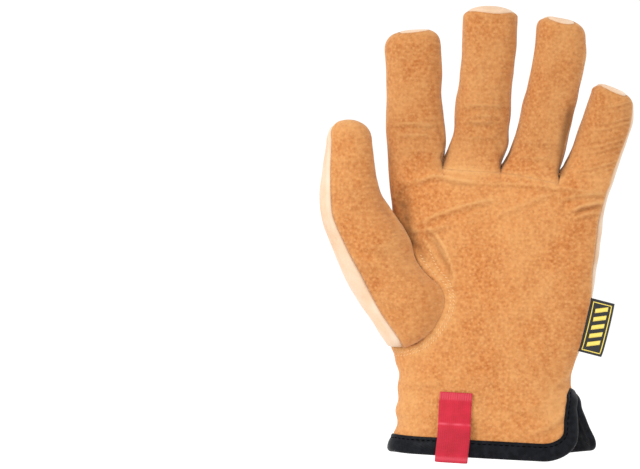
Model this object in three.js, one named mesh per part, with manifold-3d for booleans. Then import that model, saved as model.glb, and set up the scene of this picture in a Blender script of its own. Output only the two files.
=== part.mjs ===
// A left-hand leather driver glove, open and standing with its fingers up, in millimetres.
// +X points to the little finger, the palm faces -Y, and the fingers point to +Z.
// The origin is the centre of the wrist opening, at the level of the hem.
import * as THREE from "three";
import { mergeVertices } from "three/addons/utils/BufferGeometryUtils.js";
import Module from "manifold-3d";

const wasm = await Module();
wasm.setup();

// Driving dimensions
const LEATHER = 1.4; // thickness of a leather wall
const GAP = 0.3; // clearance left between two pieces
const SIDEWALL_HALF = 4.8; // half the width of the strips that run between the fingers
const TIP_WRAP = 4.5; // how far the back leather comes over a fingertip to the front
const SIDEWALL_STOP = 9; // where the strips end below a fingertip
const TAPE_THICK = 1.1;
const TAPE_WIDTH = 9.6; // width of the hem tape that shows on one side
const EDGE_INSET = 1.4; // how far the leather's edge lies inside the folded tape
const WEB_WIDTH = 17.8; // the pull loop's webbing
const WEB_THICK = 1.0;
const CURL_DEPTH = 11; // how far the tallest fingertip leans towards the palm
const CURL_START = 150;
const CURL_SPAN = 94;
const CURL_POWER = 1.3;
const FAR = 160; // reaches past the glove in every direction
const BELOW_HEM = -30; // lower than every edge of the hem
const SIDEWALL_START = 138; // the height at which the strips between the fingers begin
const ABOVE_CROTCHES = 160;
const WELD = 1e-4; // points nearer than this are one point

// The hand's girth: a row for each section. The gather column is the height of the elastic folds.
const handSections = [
  { z: -16, left: -59, right: 60, front: -25, back: 26, gather: 0 },
  { z: 0, left: -57, right: 58.5, front: -24.5, back: 25, gather: 0 },
  { z: 14, left: -52.4, right: 54, front: -22, back: 23, gather: 0 },
  { z: 27, left: -51, right: 50.5, front: -20, back: 20.5, gather: 0 },
  { z: 36, left: -50.6, right: 46, front: -19, back: 18.5, gather: 1.0 },
  { z: 43, left: -51.2, right: 45.5, front: -18.5, back: 17.5, gather: 1.7 },
  { z: 54, left: -53, right: 50, front: -18.2, back: 17.8, gather: 1.7 },
  { z: 63, left: -53.4, right: 53, front: -18, back: 18, gather: 0.8 },
  { z: 76, left: -53.4, right: 56, front: -18, back: 17.8, gather: 0 },
  { z: 116, left: -53.4, right: 61.8, front: -16.6, back: 15.6, gather: 0 },
  { z: 132, left: -54.4, right: 64, front: -14.6, back: 13.8, gather: 0 },
  { z: 143, left: -55.6, right: 67.5, front: -12.4, back: 11.9, gather: 0 },
  { z: 149, left: -54.6, right: 67, front: -10.2, back: 9.8, gather: 0 },
  { z: 152, left: -51, right: 63, front: -7, back: 6.8, gather: 0 },
];

// The fingers: a row for each section, and the place of the tip
const indexFinger = {
  tip: 230,
  tipX: -41.2,
  rows: [
    { z: 116, x: -38.5, half: 12.5, thick: 9.5 },
    { z: 140, x: -40.8, half: 14.8, thick: 10.6 },
    { z: 154, x: -41.3, half: 15.2, thick: 10.8 },
    { z: 200, x: -41.9, half: 15.8, thick: 10.2 },
  ],
};
const middleFinger = {
  tip: 243.6,
  tipX: -0.4,
  rows: [
    { z: 116, x: -12.5, half: 13.5, thick: 9.8 },
    { z: 140, x: -11.2, half: 15.2, thick: 10.8 },
    { z: 154, x: -10.5, half: 15.7, thick: 11 },
    { z: 174, x: -6.8, half: 15.6, thick: 10.8 },
    { z: 192, x: -3.6, half: 15.8, thick: 10.6 },
    { z: 214, x: -0.8, half: 15.8, thick: 10.3 },
  ],
};
const ringFinger = {
  tip: 237,
  tipX: 38.2,
  rows: [
    { z: 114, x: 14.5, half: 13, thick: 9.6 },
    { z: 140, x: 19.4, half: 15, thick: 10.6 },
    { z: 152, x: 21.9, half: 15.4, thick: 10.8 },
    { z: 192, x: 33.4, half: 15.3, thick: 10.4 },
    { z: 214, x: 38.4, half: 15, thick: 10 },
  ],
};
const littleFinger = {
  tip: 200.8,
  tipX: 67,
  rows: [
    { z: 112, x: 44, half: 13, thick: 9.4 },
    { z: 136, x: 50.2, half: 14.8, thick: 10.4 },
    { z: 150, x: 54.4, half: 15.5, thick: 10.6 },
    { z: 180, x: 64.6, half: 14.6, thick: 9.6 },
  ],
};
// How a fingertip rounds off: the share of the finger's width left at a height below the tip
const tipRounding = [
  { below: 8, share: 0.95 },
  { below: 4, share: 0.81 },
  { below: 1.4, share: 0.56 },
  { below: 0, share: 0.22 },
];

// The thumb, which leans ahead of the palm and ends below in the rounded ball of the thumb
const thumbSections = [
  { z: 52.5, left: -53, right: -46, front: -14, back: -4 },
  { z: 57, left: -57.5, right: -40.5, front: -18, back: -2 },
  { z: 64, left: -62.8, right: -33, front: -22, back: 0 },
  { z: 72, left: -68, right: -27.8, front: -24.6, back: 2 },
  { z: 81, left: -74, right: -25.1, front: -26, back: 3.5 },
  { z: 90, left: -79, right: -28.4, front: -26.8, back: 4.5 },
  { z: 96, left: -82, right: -34, front: -27, back: 5 },
  { z: 116, left: -90.6, right: -46.5, front: -26.6, back: 4 },
  { z: 130, left: -94.4, right: -54.5, front: -26, back: 2 },
  { z: 140, left: -94.9, right: -60.4, front: -25.4, back: 0.6 },
  { z: 165, left: -91.6, right: -64.4, front: -23.6, back: -1.8 },
  { z: 173, left: -89.6, right: -67.2, front: -22.6, back: -3.2 },
  { z: 177.6, left: -87, right: -70.4, front: -20.6, back: -5.6 },
  { z: 180.2, left: -83.6, right: -74, front: -17.2, back: -9 },
];
// The seams of the thumb's pale outer strip: where they lie in front and behind at each height
const thumbStripSeams = [
  { z: 40, front: -42, behind: -40 },
  { z: 55, front: -48.3, behind: -45 },
  { z: 73, front: -60.5, behind: -56 },
  { z: 97, front: -73.3, behind: -69 },
  { z: 115, front: -82.7, behind: -77 },
  { z: 127, front: -88.2, behind: -82 },
  { z: 152, front: -89, behind: -82 },
  { z: 173, front: -84, behind: -78 },
  { z: 190, front: -80, behind: -76 },
];

// The lines between two fingers, from the crotch up
const fingerGaps = [
  { z: 140, indexMiddle: -26.3, middleRing: 5.9, ringLittle: 35.4 },
  { z: 152, indexMiddle: -25.9, middleRing: 5.9, ringLittle: 38.2 },
  { z: 168, indexMiddle: -24.3, middleRing: 9.9, ringLittle: 44.1 },
  { z: 192, indexMiddle: -22.9, middleRing: 15.3, ringLittle: 51.6 },
  { z: 260, indexMiddle: -20, middleRing: 21, ringLittle: 64 },
];
// The seam across the bases of the middle and ring fingers, on the palm side
const baseSeam = [
  { x: -27, z: 153.2 },
  { x: -12, z: 151.6 },
  { x: 6, z: 151 },
  { x: 21, z: 148.2 },
  { x: 39, z: 144.6 },
];
// The heights at which that seam's ends meet the lines between the fingers
const baseSeamEnds = { left: 150, right: 147 };
// The seam between the back and the palm leather on the thumb side, seen from behind
const backSeam = [
  { x: -46, z: BELOW_HEM },
  { x: -41, z: 20 },
  { x: -38.5, z: 44 },
  { x: -40, z: 70 },
  { x: -42, z: 110 },
  { x: -50, z: 150 },
  { x: -51.5, z: 219 },
];

// The hem's lowest edge on either side of the wrist, at the thumb side, the middle and the slit side
const hemFront = [
  { x: -62, z: -1.6 },
  { x: 28, z: -8.8 },
  { x: 62, z: -8.8 },
];
const hemBehind = [
  { x: -62, z: -1.6 },
  { x: -30, z: -6 },
  { x: 5, z: -8 },
  { x: 35, z: -6 },
  { x: 62, z: -2.4 },
];
// The slit in the cuff on the little finger's side, seen from that side
const slit = { y: -5, halfTop: 0.05, top: 27, frontBottom: -25, behindBottom: 6.5, fromX: 20 };
const SLIT_TOP_SHARE = 0.4; // how far a grown slit rises for each millimetre that it widens

const badge = { centre: 5, high: 30, lowHalf: 29, highHalf: 22.5, corner: 5, rim: 3.2 };
const badgePlateOut = 1.7; // how far the plate stands off the leather
const badgeRimOut = 2.9;
const loop = { topX: -18.9, bottomX: -21.6, top: 29, fold: -9.6, innerTop: 12.4 };
// How far the loop's webbing stands off the leather, and the tape's upper edge beneath it
const webbing = { standOff: 0.7, tapeTop: 6.4, overTape: 0.7 };
const label = { top: 81.5, bottom: 52, root: 6, reach: 12.6, drop: 3, thick: 1.2, y: -5.4 };

const smooth = { squareness: 2.4 };

// The value of a column at a height, along straight lines between the rows
function column(rows, key, at, along = "z") {
  let i = 0;
  while (i < rows.length - 2 && at > rows[i + 1][along]) i += 1;
  const low = rows[i];
  const high = rows[i + 1];
  const share = (at - low[along]) / (high[along] - low[along]);
  return low[key] + (high[key] - low[key]) * share;
}

// One point of a rounded section. The angle starts at +X and turns towards the back.
function sectionPoint(section, offset, angle, fold) {
  const halfWidth = (section.right - section.left) / 2 + offset;
  const halfDepth = (section.back - section.front) / 2 + offset;
  const power = 2 / smooth.squareness;
  const across = Math.sign(Math.cos(angle)) * Math.abs(Math.cos(angle)) ** power;
  const through = Math.sign(Math.sin(angle)) * Math.abs(Math.sin(angle)) ** power;
  return new THREE.Vector3(
    (section.left + section.right) / 2 + halfWidth * across,
    (section.front + section.back) / 2 + halfDepth * through + fold,
    section.z,
  );
}

// A ring of points round a section. Every second point of the back is raised where it is gathered.
function sectionRing(section, offset, sides) {
  const points = [];
  for (let i = 0; i < sides.back; i += 1) {
    const inFolds = i > 1 && i < sides.back - 1 ? section.gather || 0 : 0;
    const fold = i % 2 === 0 ? inFolds : -inFolds;
    points.push(sectionPoint(section, offset, (Math.PI * i) / sides.back, fold));
  }
  for (let i = 0; i < sides.front; i += 1) {
    points.push(sectionPoint(section, offset, Math.PI * (1 + i / sides.front), 0));
  }
  return points;
}

// A closed surface through rings of equal counts, with a fan at each end
function skin(rings) {
  const count = rings[0].length;
  const positions = rings.flat().flatMap((p) => [p.x, p.y, p.z]);
  const index = [];
  for (let k = 0; k < rings.length - 1; k += 1) {
    for (let i = 0; i < count; i += 1) {
      const a = k * count + i;
      const b = k * count + ((i + 1) % count);
      index.push(a, b, b + count, a, b + count, a + count);
    }
  }
  for (const [ring, first, turn] of [
    [rings[0], 0, -1],
    [rings.at(-1), (rings.length - 1) * count, 1],
  ]) {
    const middle = ring.reduce((sum, p) => sum.add(p), new THREE.Vector3()).divideScalar(count);
    const centre = positions.length / 3;
    positions.push(middle.x, middle.y, middle.z);
    for (let i = 0; i < count; i += 1) {
      const next = first + ((i + 1) % count);
      index.push(centre, turn > 0 ? first + i : next, turn > 0 ? next : first + i);
    }
  }
  const geometry = new THREE.BufferGeometry();
  geometry.setAttribute("position", new THREE.Float32BufferAttribute(positions, 3));
  geometry.setIndex(index);
  return geometry;
}

// Six times the volume inside a mesh, negative where its faces point inwards
function signedVolume(position, index) {
  const corners = [new THREE.Vector3(), new THREE.Vector3(), new THREE.Vector3()];
  let sum = 0;
  for (let i = 0; i < index.length; i += 3) {
    corners.forEach((corner, j) => corner.fromBufferAttribute(position, index[i + j]));
    sum += corners[0].dot(corners[1].cross(corners[2]));
  }
  return sum;
}

function toSolid(geometry) {
  geometry.deleteAttribute("normal");
  geometry.deleteAttribute("uv");
  const merged = mergeVertices(geometry, WELD);
  const position = merged.attributes.position;
  const triVerts = Uint32Array.from(merged.index.array);
  if (signedVolume(position, triVerts) < 0) triVerts.reverse();
  return new wasm.Manifold(
    new wasm.Mesh({ numProp: 3, vertProperties: Float32Array.from(position.array), triVerts }),
  );
}

function fromSolid(solid) {
  const mesh = solid.getMesh();
  const geometry = new THREE.BufferGeometry();
  geometry.setAttribute("position", new THREE.BufferAttribute(mesh.vertProperties, 3));
  geometry.setIndex(new THREE.BufferAttribute(mesh.triVerts, 1));
  return geometry;
}

// A flat outline pushed through the glove. place turns its two coordinates and depth into a point.
function prism(outline, from, to, place) {
  const shape = new THREE.Shape(outline.map(([u, v]) => new THREE.Vector2(u, v)));
  const geometry = new THREE.ExtrudeGeometry(shape, { depth: to - from, bevelEnabled: false });
  const position = geometry.attributes.position;
  for (let i = 0; i < position.count; i += 1) {
    position.setXYZ(i, ...place(position.getX(i), position.getY(i), position.getZ(i) + from));
  }
  return toSolid(geometry);
}
const throughBack = (outline, from, to) => prism(outline, from, to, (x, z, y) => [x, y, z]);
const throughSide = (outline, from, to) => prism(outline, from, to, (y, z, x) => [x, y, z]);

// The hand, the fingers and the thumb, each as a full solid grown by an offset
const handSides = { back: 20, front: 10 };
const fingerSides = { back: 7, front: 6 };
const thumbSides = { back: 6, front: 7 };

function handSolid(offset, upTo = Infinity) {
  const sections = handSections.filter((section) => section.z < upTo);
  const rings = sections.map((section, i) => {
    const last = i === handSections.length - 1 ? offset : 0;
    return sectionRing({ ...section, z: section.z + last }, offset, handSides);
  });
  return toSolid(skin(rings));
}

function fingerSolid(finger, offset) {
  const widest = finger.rows.at(-1);
  const lean = (finger.tipX - widest.x) / (finger.tip - widest.z);
  const shaft = finger.rows.map((row) => ({ ...row, share: 1 }));
  const tip = tipRounding.map(({ below, share }) => ({
    z: finger.tip - below,
    x: widest.x + lean * (finger.tip - below - widest.z),
    half: widest.half,
    thick: widest.thick,
    share,
  }));
  const rings = [...shaft, ...tip].map((row, i) => {
    const nearTip = i >= shaft.length ? offset : 0;
    const section = {
      z: row.z + nearTip,
      left: row.x - row.half * row.share,
      right: row.x + row.half * row.share,
      front: -row.thick * row.share,
      back: row.thick * row.share,
    };
    return sectionRing(section, offset, fingerSides);
  });
  return toSolid(skin(rings));
}

function thumbSolid(offset) {
  const last = thumbSections.length - 1;
  const rings = thumbSections.map((section, i) => {
    const end = i === 0 ? -offset : i >= last - 1 ? offset : 0;
    return sectionRing({ ...section, z: section.z + end }, offset, thumbSides);
  });
  return toSolid(skin(rings));
}

const fingers = [indexFinger, middleFinger, ringFinger, littleFinger];
const fullHand = (offset) =>
  fingers.reduce((solid, finger) => solid.add(fingerSolid(finger, offset)), handSolid(offset));

// Everything below the hem's edge raised by rise, and everything inside the slit grown by grow
function belowHem(rise) {
  const outline = (line) => [
    ...line.map(({ x, z }) => [x, z + rise]),
    [line.at(-1).x, -FAR],
    [line[0].x, -FAR],
  ];
  const front = throughBack(outline(hemFront), -FAR, 0);
  return front.add(throughBack(outline(hemBehind), 0, FAR));
}

function insideSlit(grow) {
  const outline = [
    [slit.frontBottom - grow, BELOW_HEM],
    [slit.behindBottom + grow, BELOW_HEM],
    [slit.y + slit.halfTop + grow, slit.top + grow * SLIT_TOP_SHARE],
    [slit.y - slit.halfTop - grow, slit.top + grow * SLIT_TOP_SHARE],
  ];
  return throughSide(outline, slit.fromX, FAR);
}
const cuffCut = (grow) => belowHem(grow).add(insideSlit(grow));

// Outlines seen from the front, grown by grow
function fingerFrontRegion(leftGap, rightGap, tip, grow) {
  const aboveSeam = fingerGaps[1].z;
  const onLine = (key, side) =>
    fingerGaps.filter((row) => row.z > aboveSeam).map((row) => [row[key] + side * grow, row.z]);
  const left = column(fingerGaps, leftGap, baseSeamEnds.left) - grow;
  const right = column(fingerGaps, rightGap, baseSeamEnds.right) + grow;
  const seam = baseSeam.filter(({ x }) => x > left + 1 && x < right - 1);
  const top = tip - TIP_WRAP + grow;
  const seamAt = (x) => column(baseSeam, "z", x, "x") - grow;
  const outline = [
    [left, seamAt(left)],
    ...seam.map(({ x, z }) => [x, z - grow]),
    [right, seamAt(right)],
    ...onLine(rightGap, 1).filter(([, z]) => z < top),
    [column(fingerGaps, rightGap, top) + grow, top],
    [column(fingerGaps, leftGap, top) - grow, top],
    ...onLine(leftGap, -1)
      .filter(([, z]) => z < top)
      .reverse(),
  ];
  return throughBack(outline, -FAR, -SIDEWALL_HALF - GAP / 2 + grow);
}

function sidewallRegion(leftFinger, rightFinger, gapKey, grow) {
  const low = SIDEWALL_START - grow;
  const centre = (finger, z) => column(finger.rows, "x", z);
  const leftTop = leftFinger.tip - SIDEWALL_STOP + grow;
  const rightTop = rightFinger.tip - SIDEWALL_STOP + grow;
  const outline = [
    [centre(leftFinger, low), low],
    [centre(rightFinger, low), low],
    [centre(rightFinger, rightTop), rightTop],
    [column(fingerGaps, gapKey, rightTop), rightTop],
    [column(fingerGaps, gapKey, leftTop), leftTop],
    [centre(leftFinger, leftTop), leftTop],
  ];
  const half = SIDEWALL_HALF - GAP / 2 + grow;
  return throughBack(outline, -half, half);
}

// The palm leather: all of the front, and the outer side of the forefinger and of the hand
function palmRegion(grow) {
  const littleTop = littleFinger.tip - TIP_WRAP + grow;
  const indexTop = indexFinger.tip - TIP_WRAP + grow;
  const front = throughBack(
    [
      [-FAR, BELOW_HEM],
      [FAR, BELOW_HEM],
      [FAR, littleTop],
      [column(fingerGaps, "ringLittle", littleTop) + grow, littleTop],
      [column(fingerGaps, "ringLittle", ABOVE_CROTCHES), ABOVE_CROTCHES],
      [column(fingerGaps, "indexMiddle", ABOVE_CROTCHES), ABOVE_CROTCHES],
      [column(fingerGaps, "indexMiddle", indexTop) + grow, indexTop],
      [-FAR, indexTop],
    ],
    -FAR,
    -SIDEWALL_HALF - GAP / 2 + grow,
  );
  const side = throughBack(
    [
      [-FAR, BELOW_HEM],
      ...backSeam.map(({ x, z }) => [x + grow, z]),
      [backSeam.at(-1).x + grow, indexFinger.tip - SIDEWALL_STOP + grow],
      [-FAR, indexFinger.tip - SIDEWALL_STOP + grow],
    ],
    -SIDEWALL_HALF - GAP / 2,
    FAR,
  );
  return front.add(side);
}

// The pale strip along the thumb's outer side
function thumbStripRegion(grow) {
  const rings = thumbStripSeams.map(({ z, front, behind }) => [
    new THREE.Vector3(-FAR, -FAR / 2, z),
    new THREE.Vector3(front + grow, -FAR / 2, z),
    new THREE.Vector3(behind + grow, FAR / 2, z),
    new THREE.Vector3(-FAR, FAR / 2, z),
  ]);
  return toSolid(skin(rings));
}

// The cuff badge's outline, seen from behind, with two rounded corners and shrunk by inset
function badgeOutline(inset) {
  const { centre, high, corner } = badge;
  const lowHalf = badge.lowHalf - inset;
  const highHalf = badge.highHalf - inset;
  const top = high - inset;
  const arc = (side) =>
    [0, 1, 2].map((step) => {
      const angle = (step / 2) * (Math.PI / 2);
      const across = highHalf - corner + corner * Math.cos(angle);
      return [centre + side * across, top - corner + corner * Math.sin(angle)];
    });
  const overTape = (x) => [x, column(hemBehind, "z", x, "x") + TAPE_WIDTH + GAP + inset];
  return [
    overTape(centre - lowHalf),
    overTape(centre),
    overTape(centre + lowHalf),
    ...arc(1),
    ...arc(-1).reverse(),
  ];
}

// The finger and thumb tips lean smoothly towards the palm
function curl(geometry) {
  const position = geometry.attributes.position;
  for (let i = 0; i < position.count; i += 1) {
    const along = Math.max(0, (position.getZ(i) - CURL_START) / CURL_SPAN);
    position.setY(i, position.getY(i) - CURL_DEPTH * along ** CURL_POWER);
  }
  return geometry;
}

// Where the palm's leather lies at a place on the wrist
function frontOfHand(x, z) {
  const section = Object.fromEntries(
    ["left", "right", "front", "back"].map((key) => [key, column(handSections, key, z)]),
  );
  const halfWidth = (section.right - section.left) / 2;
  const halfDepth = (section.back - section.front) / 2;
  const share = Math.abs(x - (section.left + section.right) / 2) / halfWidth;
  const bulge = (1 - share ** smooth.squareness) ** (1 / smooth.squareness);
  return (section.front + section.back) / 2 - halfDepth * bulge;
}

// The pull loop: webbing sewn on above the tape, folded below the hem and brought up behind
function pullLoop() {
  const overTape = GAP + TAPE_THICK + webbing.overTape;
  const behindFront = overTape + WEB_THICK + GAP;
  const flat = webbing.standOff;
  const { tapeTop } = webbing;
  const profile = [
    [flat, loop.top],
    [flat, loop.innerTop + 3],
    [behindFront, loop.innerTop - 1],
    [behindFront, loop.fold + 2.4],
    [overTape + WEB_THICK, loop.fold + 1.6],
    [overTape + WEB_THICK, loop.innerTop - 1.6],
    [flat + WEB_THICK, loop.innerTop - 1.6],
    [flat, loop.innerTop - 1.6],
    [flat, tapeTop + 1],
    [overTape, tapeTop - 0.2],
    [overTape, loop.fold + 1],
    [overTape + 0.6, loop.fold],
    [behindFront + WEB_THICK - 0.4, loop.fold],
    [behindFront + WEB_THICK, loop.fold + 1.4],
    [behindFront + WEB_THICK, loop.innerTop - 0.6],
    [flat + WEB_THICK, loop.innerTop + 4],
    [flat + WEB_THICK, loop.top],
  ];
  const shape = new THREE.Shape(profile.map(([out, z]) => new THREE.Vector2(out, z)));
  const geometry = new THREE.ExtrudeGeometry(shape, {
    depth: WEB_WIDTH,
    steps: 4,
    bevelEnabled: false,
  });
  const position = geometry.attributes.position;
  const slant = (loop.topX - loop.bottomX) / (loop.top - loop.fold);
  for (let i = 0; i < position.count; i += 1) {
    const z = position.getY(i);
    const x = loop.bottomX + slant * (z - loop.fold) + position.getZ(i) - WEB_WIDTH / 2;
    position.setXYZ(i, x, frontOfHand(x, z) - position.getX(i), z);
  }
  return toSolid(geometry);
}

// A small folded label that stands out of the seam on the little finger's side
function sideLabel() {
  const right = (z) => column(handSections, "right", z);
  const outline = [
    [right(label.bottom) - label.root, label.bottom],
    [right(label.bottom) + label.reach, label.bottom - label.drop],
    [right(label.top) + label.reach, label.top - label.drop],
    [right(label.top) - label.root, label.top],
  ];
  return throughBack(outline, label.y - label.thick / 2, label.y + label.thick / 2);
}

// The walls: an outer form less an inner one
const outerHand = fullHand(0);
const innerHand = fullHand(-LEATHER);
const outerThumb = thumbSolid(0);
const thumbWall = outerThumb.subtract(thumbSolid(-LEATHER)).subtract(innerHand);
let leather = outerHand.subtract(innerHand).subtract(thumbSolid(GAP)).subtract(cuffCut(EDGE_INSET));

// Takes a region's leather off what is left, with a clearance round it
function carve(region) {
  const piece = leather.intersect(region(0));
  leather = leather.subtract(region(GAP));
  return piece;
}

const sidewalls = {
  fourchette_index_middle: carve((g) =>
    sidewallRegion(indexFinger, middleFinger, "indexMiddle", g),
  ),
  fourchette_middle_ring: carve((g) => sidewallRegion(middleFinger, ringFinger, "middleRing", g)),
  fourchette_ring_little: carve((g) => sidewallRegion(ringFinger, littleFinger, "ringLittle", g)),
};
const middleFront = carve((g) =>
  fingerFrontRegion("indexMiddle", "middleRing", middleFinger.tip, g),
);
const ringFront = carve((g) => fingerFrontRegion("middleRing", "ringLittle", ringFinger.tip, g));
const palmPanel = carve(palmRegion);
const backPanel = leather;

const stripRegion = thumbStripRegion(0);
const thumbBack = thumbWall.intersect(stripRegion);
const thumbFront = thumbWall.subtract(thumbStripRegion(GAP));

// The hem tape is folded over the leather's edge, round the wrist and up both sides of the slit
const CUFF_TOP = 50;
const cuffForm = (offset) => handSolid(offset, CUFF_TOP);
const tapeBody = cuffForm(GAP + TAPE_THICK).subtract(cuffForm(-LEATHER - GAP - TAPE_THICK));
const leatherRoom = cuffForm(GAP)
  .subtract(cuffForm(-LEATHER - GAP))
  .subtract(cuffCut(TAPE_THICK));
const hemTape = tapeBody
  .intersect(cuffCut(TAPE_WIDTH))
  .subtract(cuffCut(0))
  .subtract(leatherRoom);

// The badge and its rim lie on the back of the cuff, just above the tape
const plateForm = cuffForm(badgePlateOut).subtract(cuffForm(GAP));
const rimForm = cuffForm(badgeRimOut).subtract(cuffForm(GAP));
const badgePlate = plateForm.intersect(throughBack(badgeOutline(badge.rim + GAP), 0, FAR));
const badgeRim = rimForm.intersect(
  throughBack(badgeOutline(0), 0, FAR).subtract(throughBack(badgeOutline(badge.rim), 0, FAR)),
);

const labelSolid = sideLabel().subtract(handSolid(GAP));

// Colours and finishes
const finish = (color, roughness) => new THREE.MeshStandardMaterial({ color, roughness, metalness: 0 });
const suede = finish(0xdc9658, 0.95);
const grain = finish(0xf3cfa6, 0.6);
const tape = finish(0x20242c, 0.7);
const rubber = finish(0x242a3c, 0.5);
const redCloth = finish(0xd82c46, 0.7);
const labelCloth = finish(0x2a2620, 0.8);

const pieces = [
  { name: "palm_panel", solid: palmPanel, material: suede },
  { name: "middle_front", solid: middleFront, material: suede },
  { name: "ring_front", solid: ringFront, material: suede },
  { name: "back_panel", solid: backPanel, material: grain },
  ...Object.entries(sidewalls).map(([name, solid]) => ({ name, solid, material: suede })),
  { name: "thumb_front", solid: thumbFront, material: suede },
  { name: "thumb_back", solid: thumbBack, material: grain },
  { name: "hem_binding", solid: hemTape, material: tape },
  { name: "cuff_badge", solid: badgePlate, material: rubber },
  { name: "badge_rim", solid: badgeRim, material: rubber },
  { name: "pull_loop", solid: pullLoop(), material: redCloth },
  { name: "side_label", solid: labelSolid, material: labelCloth },
];

const glove = new THREE.Group();
for (const { name, solid, material } of pieces) {
  const mesh = new THREE.Mesh(curl(fromSolid(solid)), material);
  mesh.name = name;
  glove.add(mesh);
}

export default glove;
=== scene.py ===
"""A left-hand leather driver glove, open and standing with its fingers up.

Tables and shapes are in millimetres, and a mesh is in metres. +X points to the little finger, the palm
faces -Y and the fingers point to +Z. A section of the hand or of a finger is a rounded ring: its depth
at a place across it is (1 - |place|^n)^(1/n) of its full depth.
"""

import bmesh
import bpy
import numpy as np
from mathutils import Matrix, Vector


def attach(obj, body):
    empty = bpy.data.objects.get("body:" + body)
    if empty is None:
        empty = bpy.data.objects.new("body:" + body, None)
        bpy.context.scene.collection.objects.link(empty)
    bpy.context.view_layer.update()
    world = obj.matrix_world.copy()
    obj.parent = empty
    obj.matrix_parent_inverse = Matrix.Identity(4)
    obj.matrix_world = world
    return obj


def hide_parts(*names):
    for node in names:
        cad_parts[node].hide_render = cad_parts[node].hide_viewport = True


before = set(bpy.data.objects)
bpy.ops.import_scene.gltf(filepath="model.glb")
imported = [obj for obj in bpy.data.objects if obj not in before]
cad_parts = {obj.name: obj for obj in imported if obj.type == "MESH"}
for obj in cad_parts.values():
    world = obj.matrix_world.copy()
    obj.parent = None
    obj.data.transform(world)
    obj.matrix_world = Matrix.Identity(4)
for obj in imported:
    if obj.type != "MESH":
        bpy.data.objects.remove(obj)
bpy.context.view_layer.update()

MM = 0.001
LEATHER = 1.4  # thickness of a leather wall
SQUARE = 2.4  # power of the rounded sections
BLEND = 10.0  # above and below a crotch, the hand's section turns into the finger's over this
OPENING = 5.0  # above a crotch, two fingers part over this
CURL_DEPTH, CURL_START, CURL_SPAN, CURL_POWER = 11.0, 150.0, 94.0, 1.3
SEAM_ROLL, SEAM_WIDTH = 0.75, 1.2  # how deep a sewn edge turns in, and over what width
TAPE_WIDTH = 9.6
SMALL = 0.02  # a short way, as an angle or in millimetres, over which slopes are taken
FRONT, BACK = -1, 1
EDGE = {FRONT: 3.4, BACK: 5.0}  # how far a finger's front and back leather end from its middle


def table(names, *rows):
    """A short table as a dictionary of its columns."""
    return dict(zip(names.split(), np.array(rows, float).T))


HAND = table(
    "z left right front back",
    (-16, -59, 60, -25, 26),
    (0, -55.6, 58.7, -24.5, 25),
    (14, -51.5, 52.3, -22, 23),
    (20, -51.8, 50.2, -21.1, 21.8),
    (26, -51, 48.7, -20.2, 20.6),
    (28.5, -50.8, 46.7, -19.8, 20.1),
    (31, -50.6, 45.5, -19.5, 19.6),
    (36, -50.4, 45.1, -19, 18.5),
    (43, -50.5, 46, -18.5, 17.5),
    (50, -52.4, 48.4, -18.3, 17.6),
    (55, -54.6, 50.4, -18.2, 17.8),
    (60, -55.2, 51.8, -18.1, 17.8),
    (76, -53.6, 55.7, -18, 17.8),
    (100, -53.4, 59.5, -17.4, 16.8),
    (116, -53.6, 61.8, -16.8, 15.8),
    (132, -54.6, 63.7, -15.6, 14.6),
    (150, -56.6, 69, -14, 13.2),
    (170, -58, 77, -12.4, 12),
)
# The lines that part the hand into four fingers, from the hem to the crotches
PARTINGS = table(
    "z one two three", (-12, -28, 0, 29), (60, -28, 1, 31), (120, -27.4, 4, 35), (160, -26.4, 6, 39),
)
# Each finger's tip: its superellipse, its slant and shift, and how far the grain leather wraps over it
TIPS = table(
    "tip high square slant shift wrap_left wrap_right patch patch_at patch_wide dip_left dip_right",
    (230.4, 12.5, 2.7, -0.07, 0.05, 1.2, 1.0, 1.2, 0.4, 0.5, 0, 1.6),
    (243.1, 6.3, 1.9, 0, -0.12, 3.2, 4.0, 1.3, 0.6, 0.3, 0, 0),
    (236.4, 9.4, 2.5, 0.14, -0.1, 0.8, 0.9, 2.7, 0.56, 0.4, 2.4, 2.4),
    (198.2, 8.0, 2.5, 0.3, -0.1, 0.7, 1.9, 1.8, 0.62, 0.42, 2.2, 0),
)
# Each gap at a finger's right: its crotch, how soon the sidewall swells, and how the front leather draws back
GAPS = table(
    "crotch_right swell recess recess_up recess_over",
    (154.3, 5, 4.2, 6, 9), (152.6, 2.5, 3.4, 7, 8), (150.4, 7, 4.0, 16, 16),
)
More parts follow.
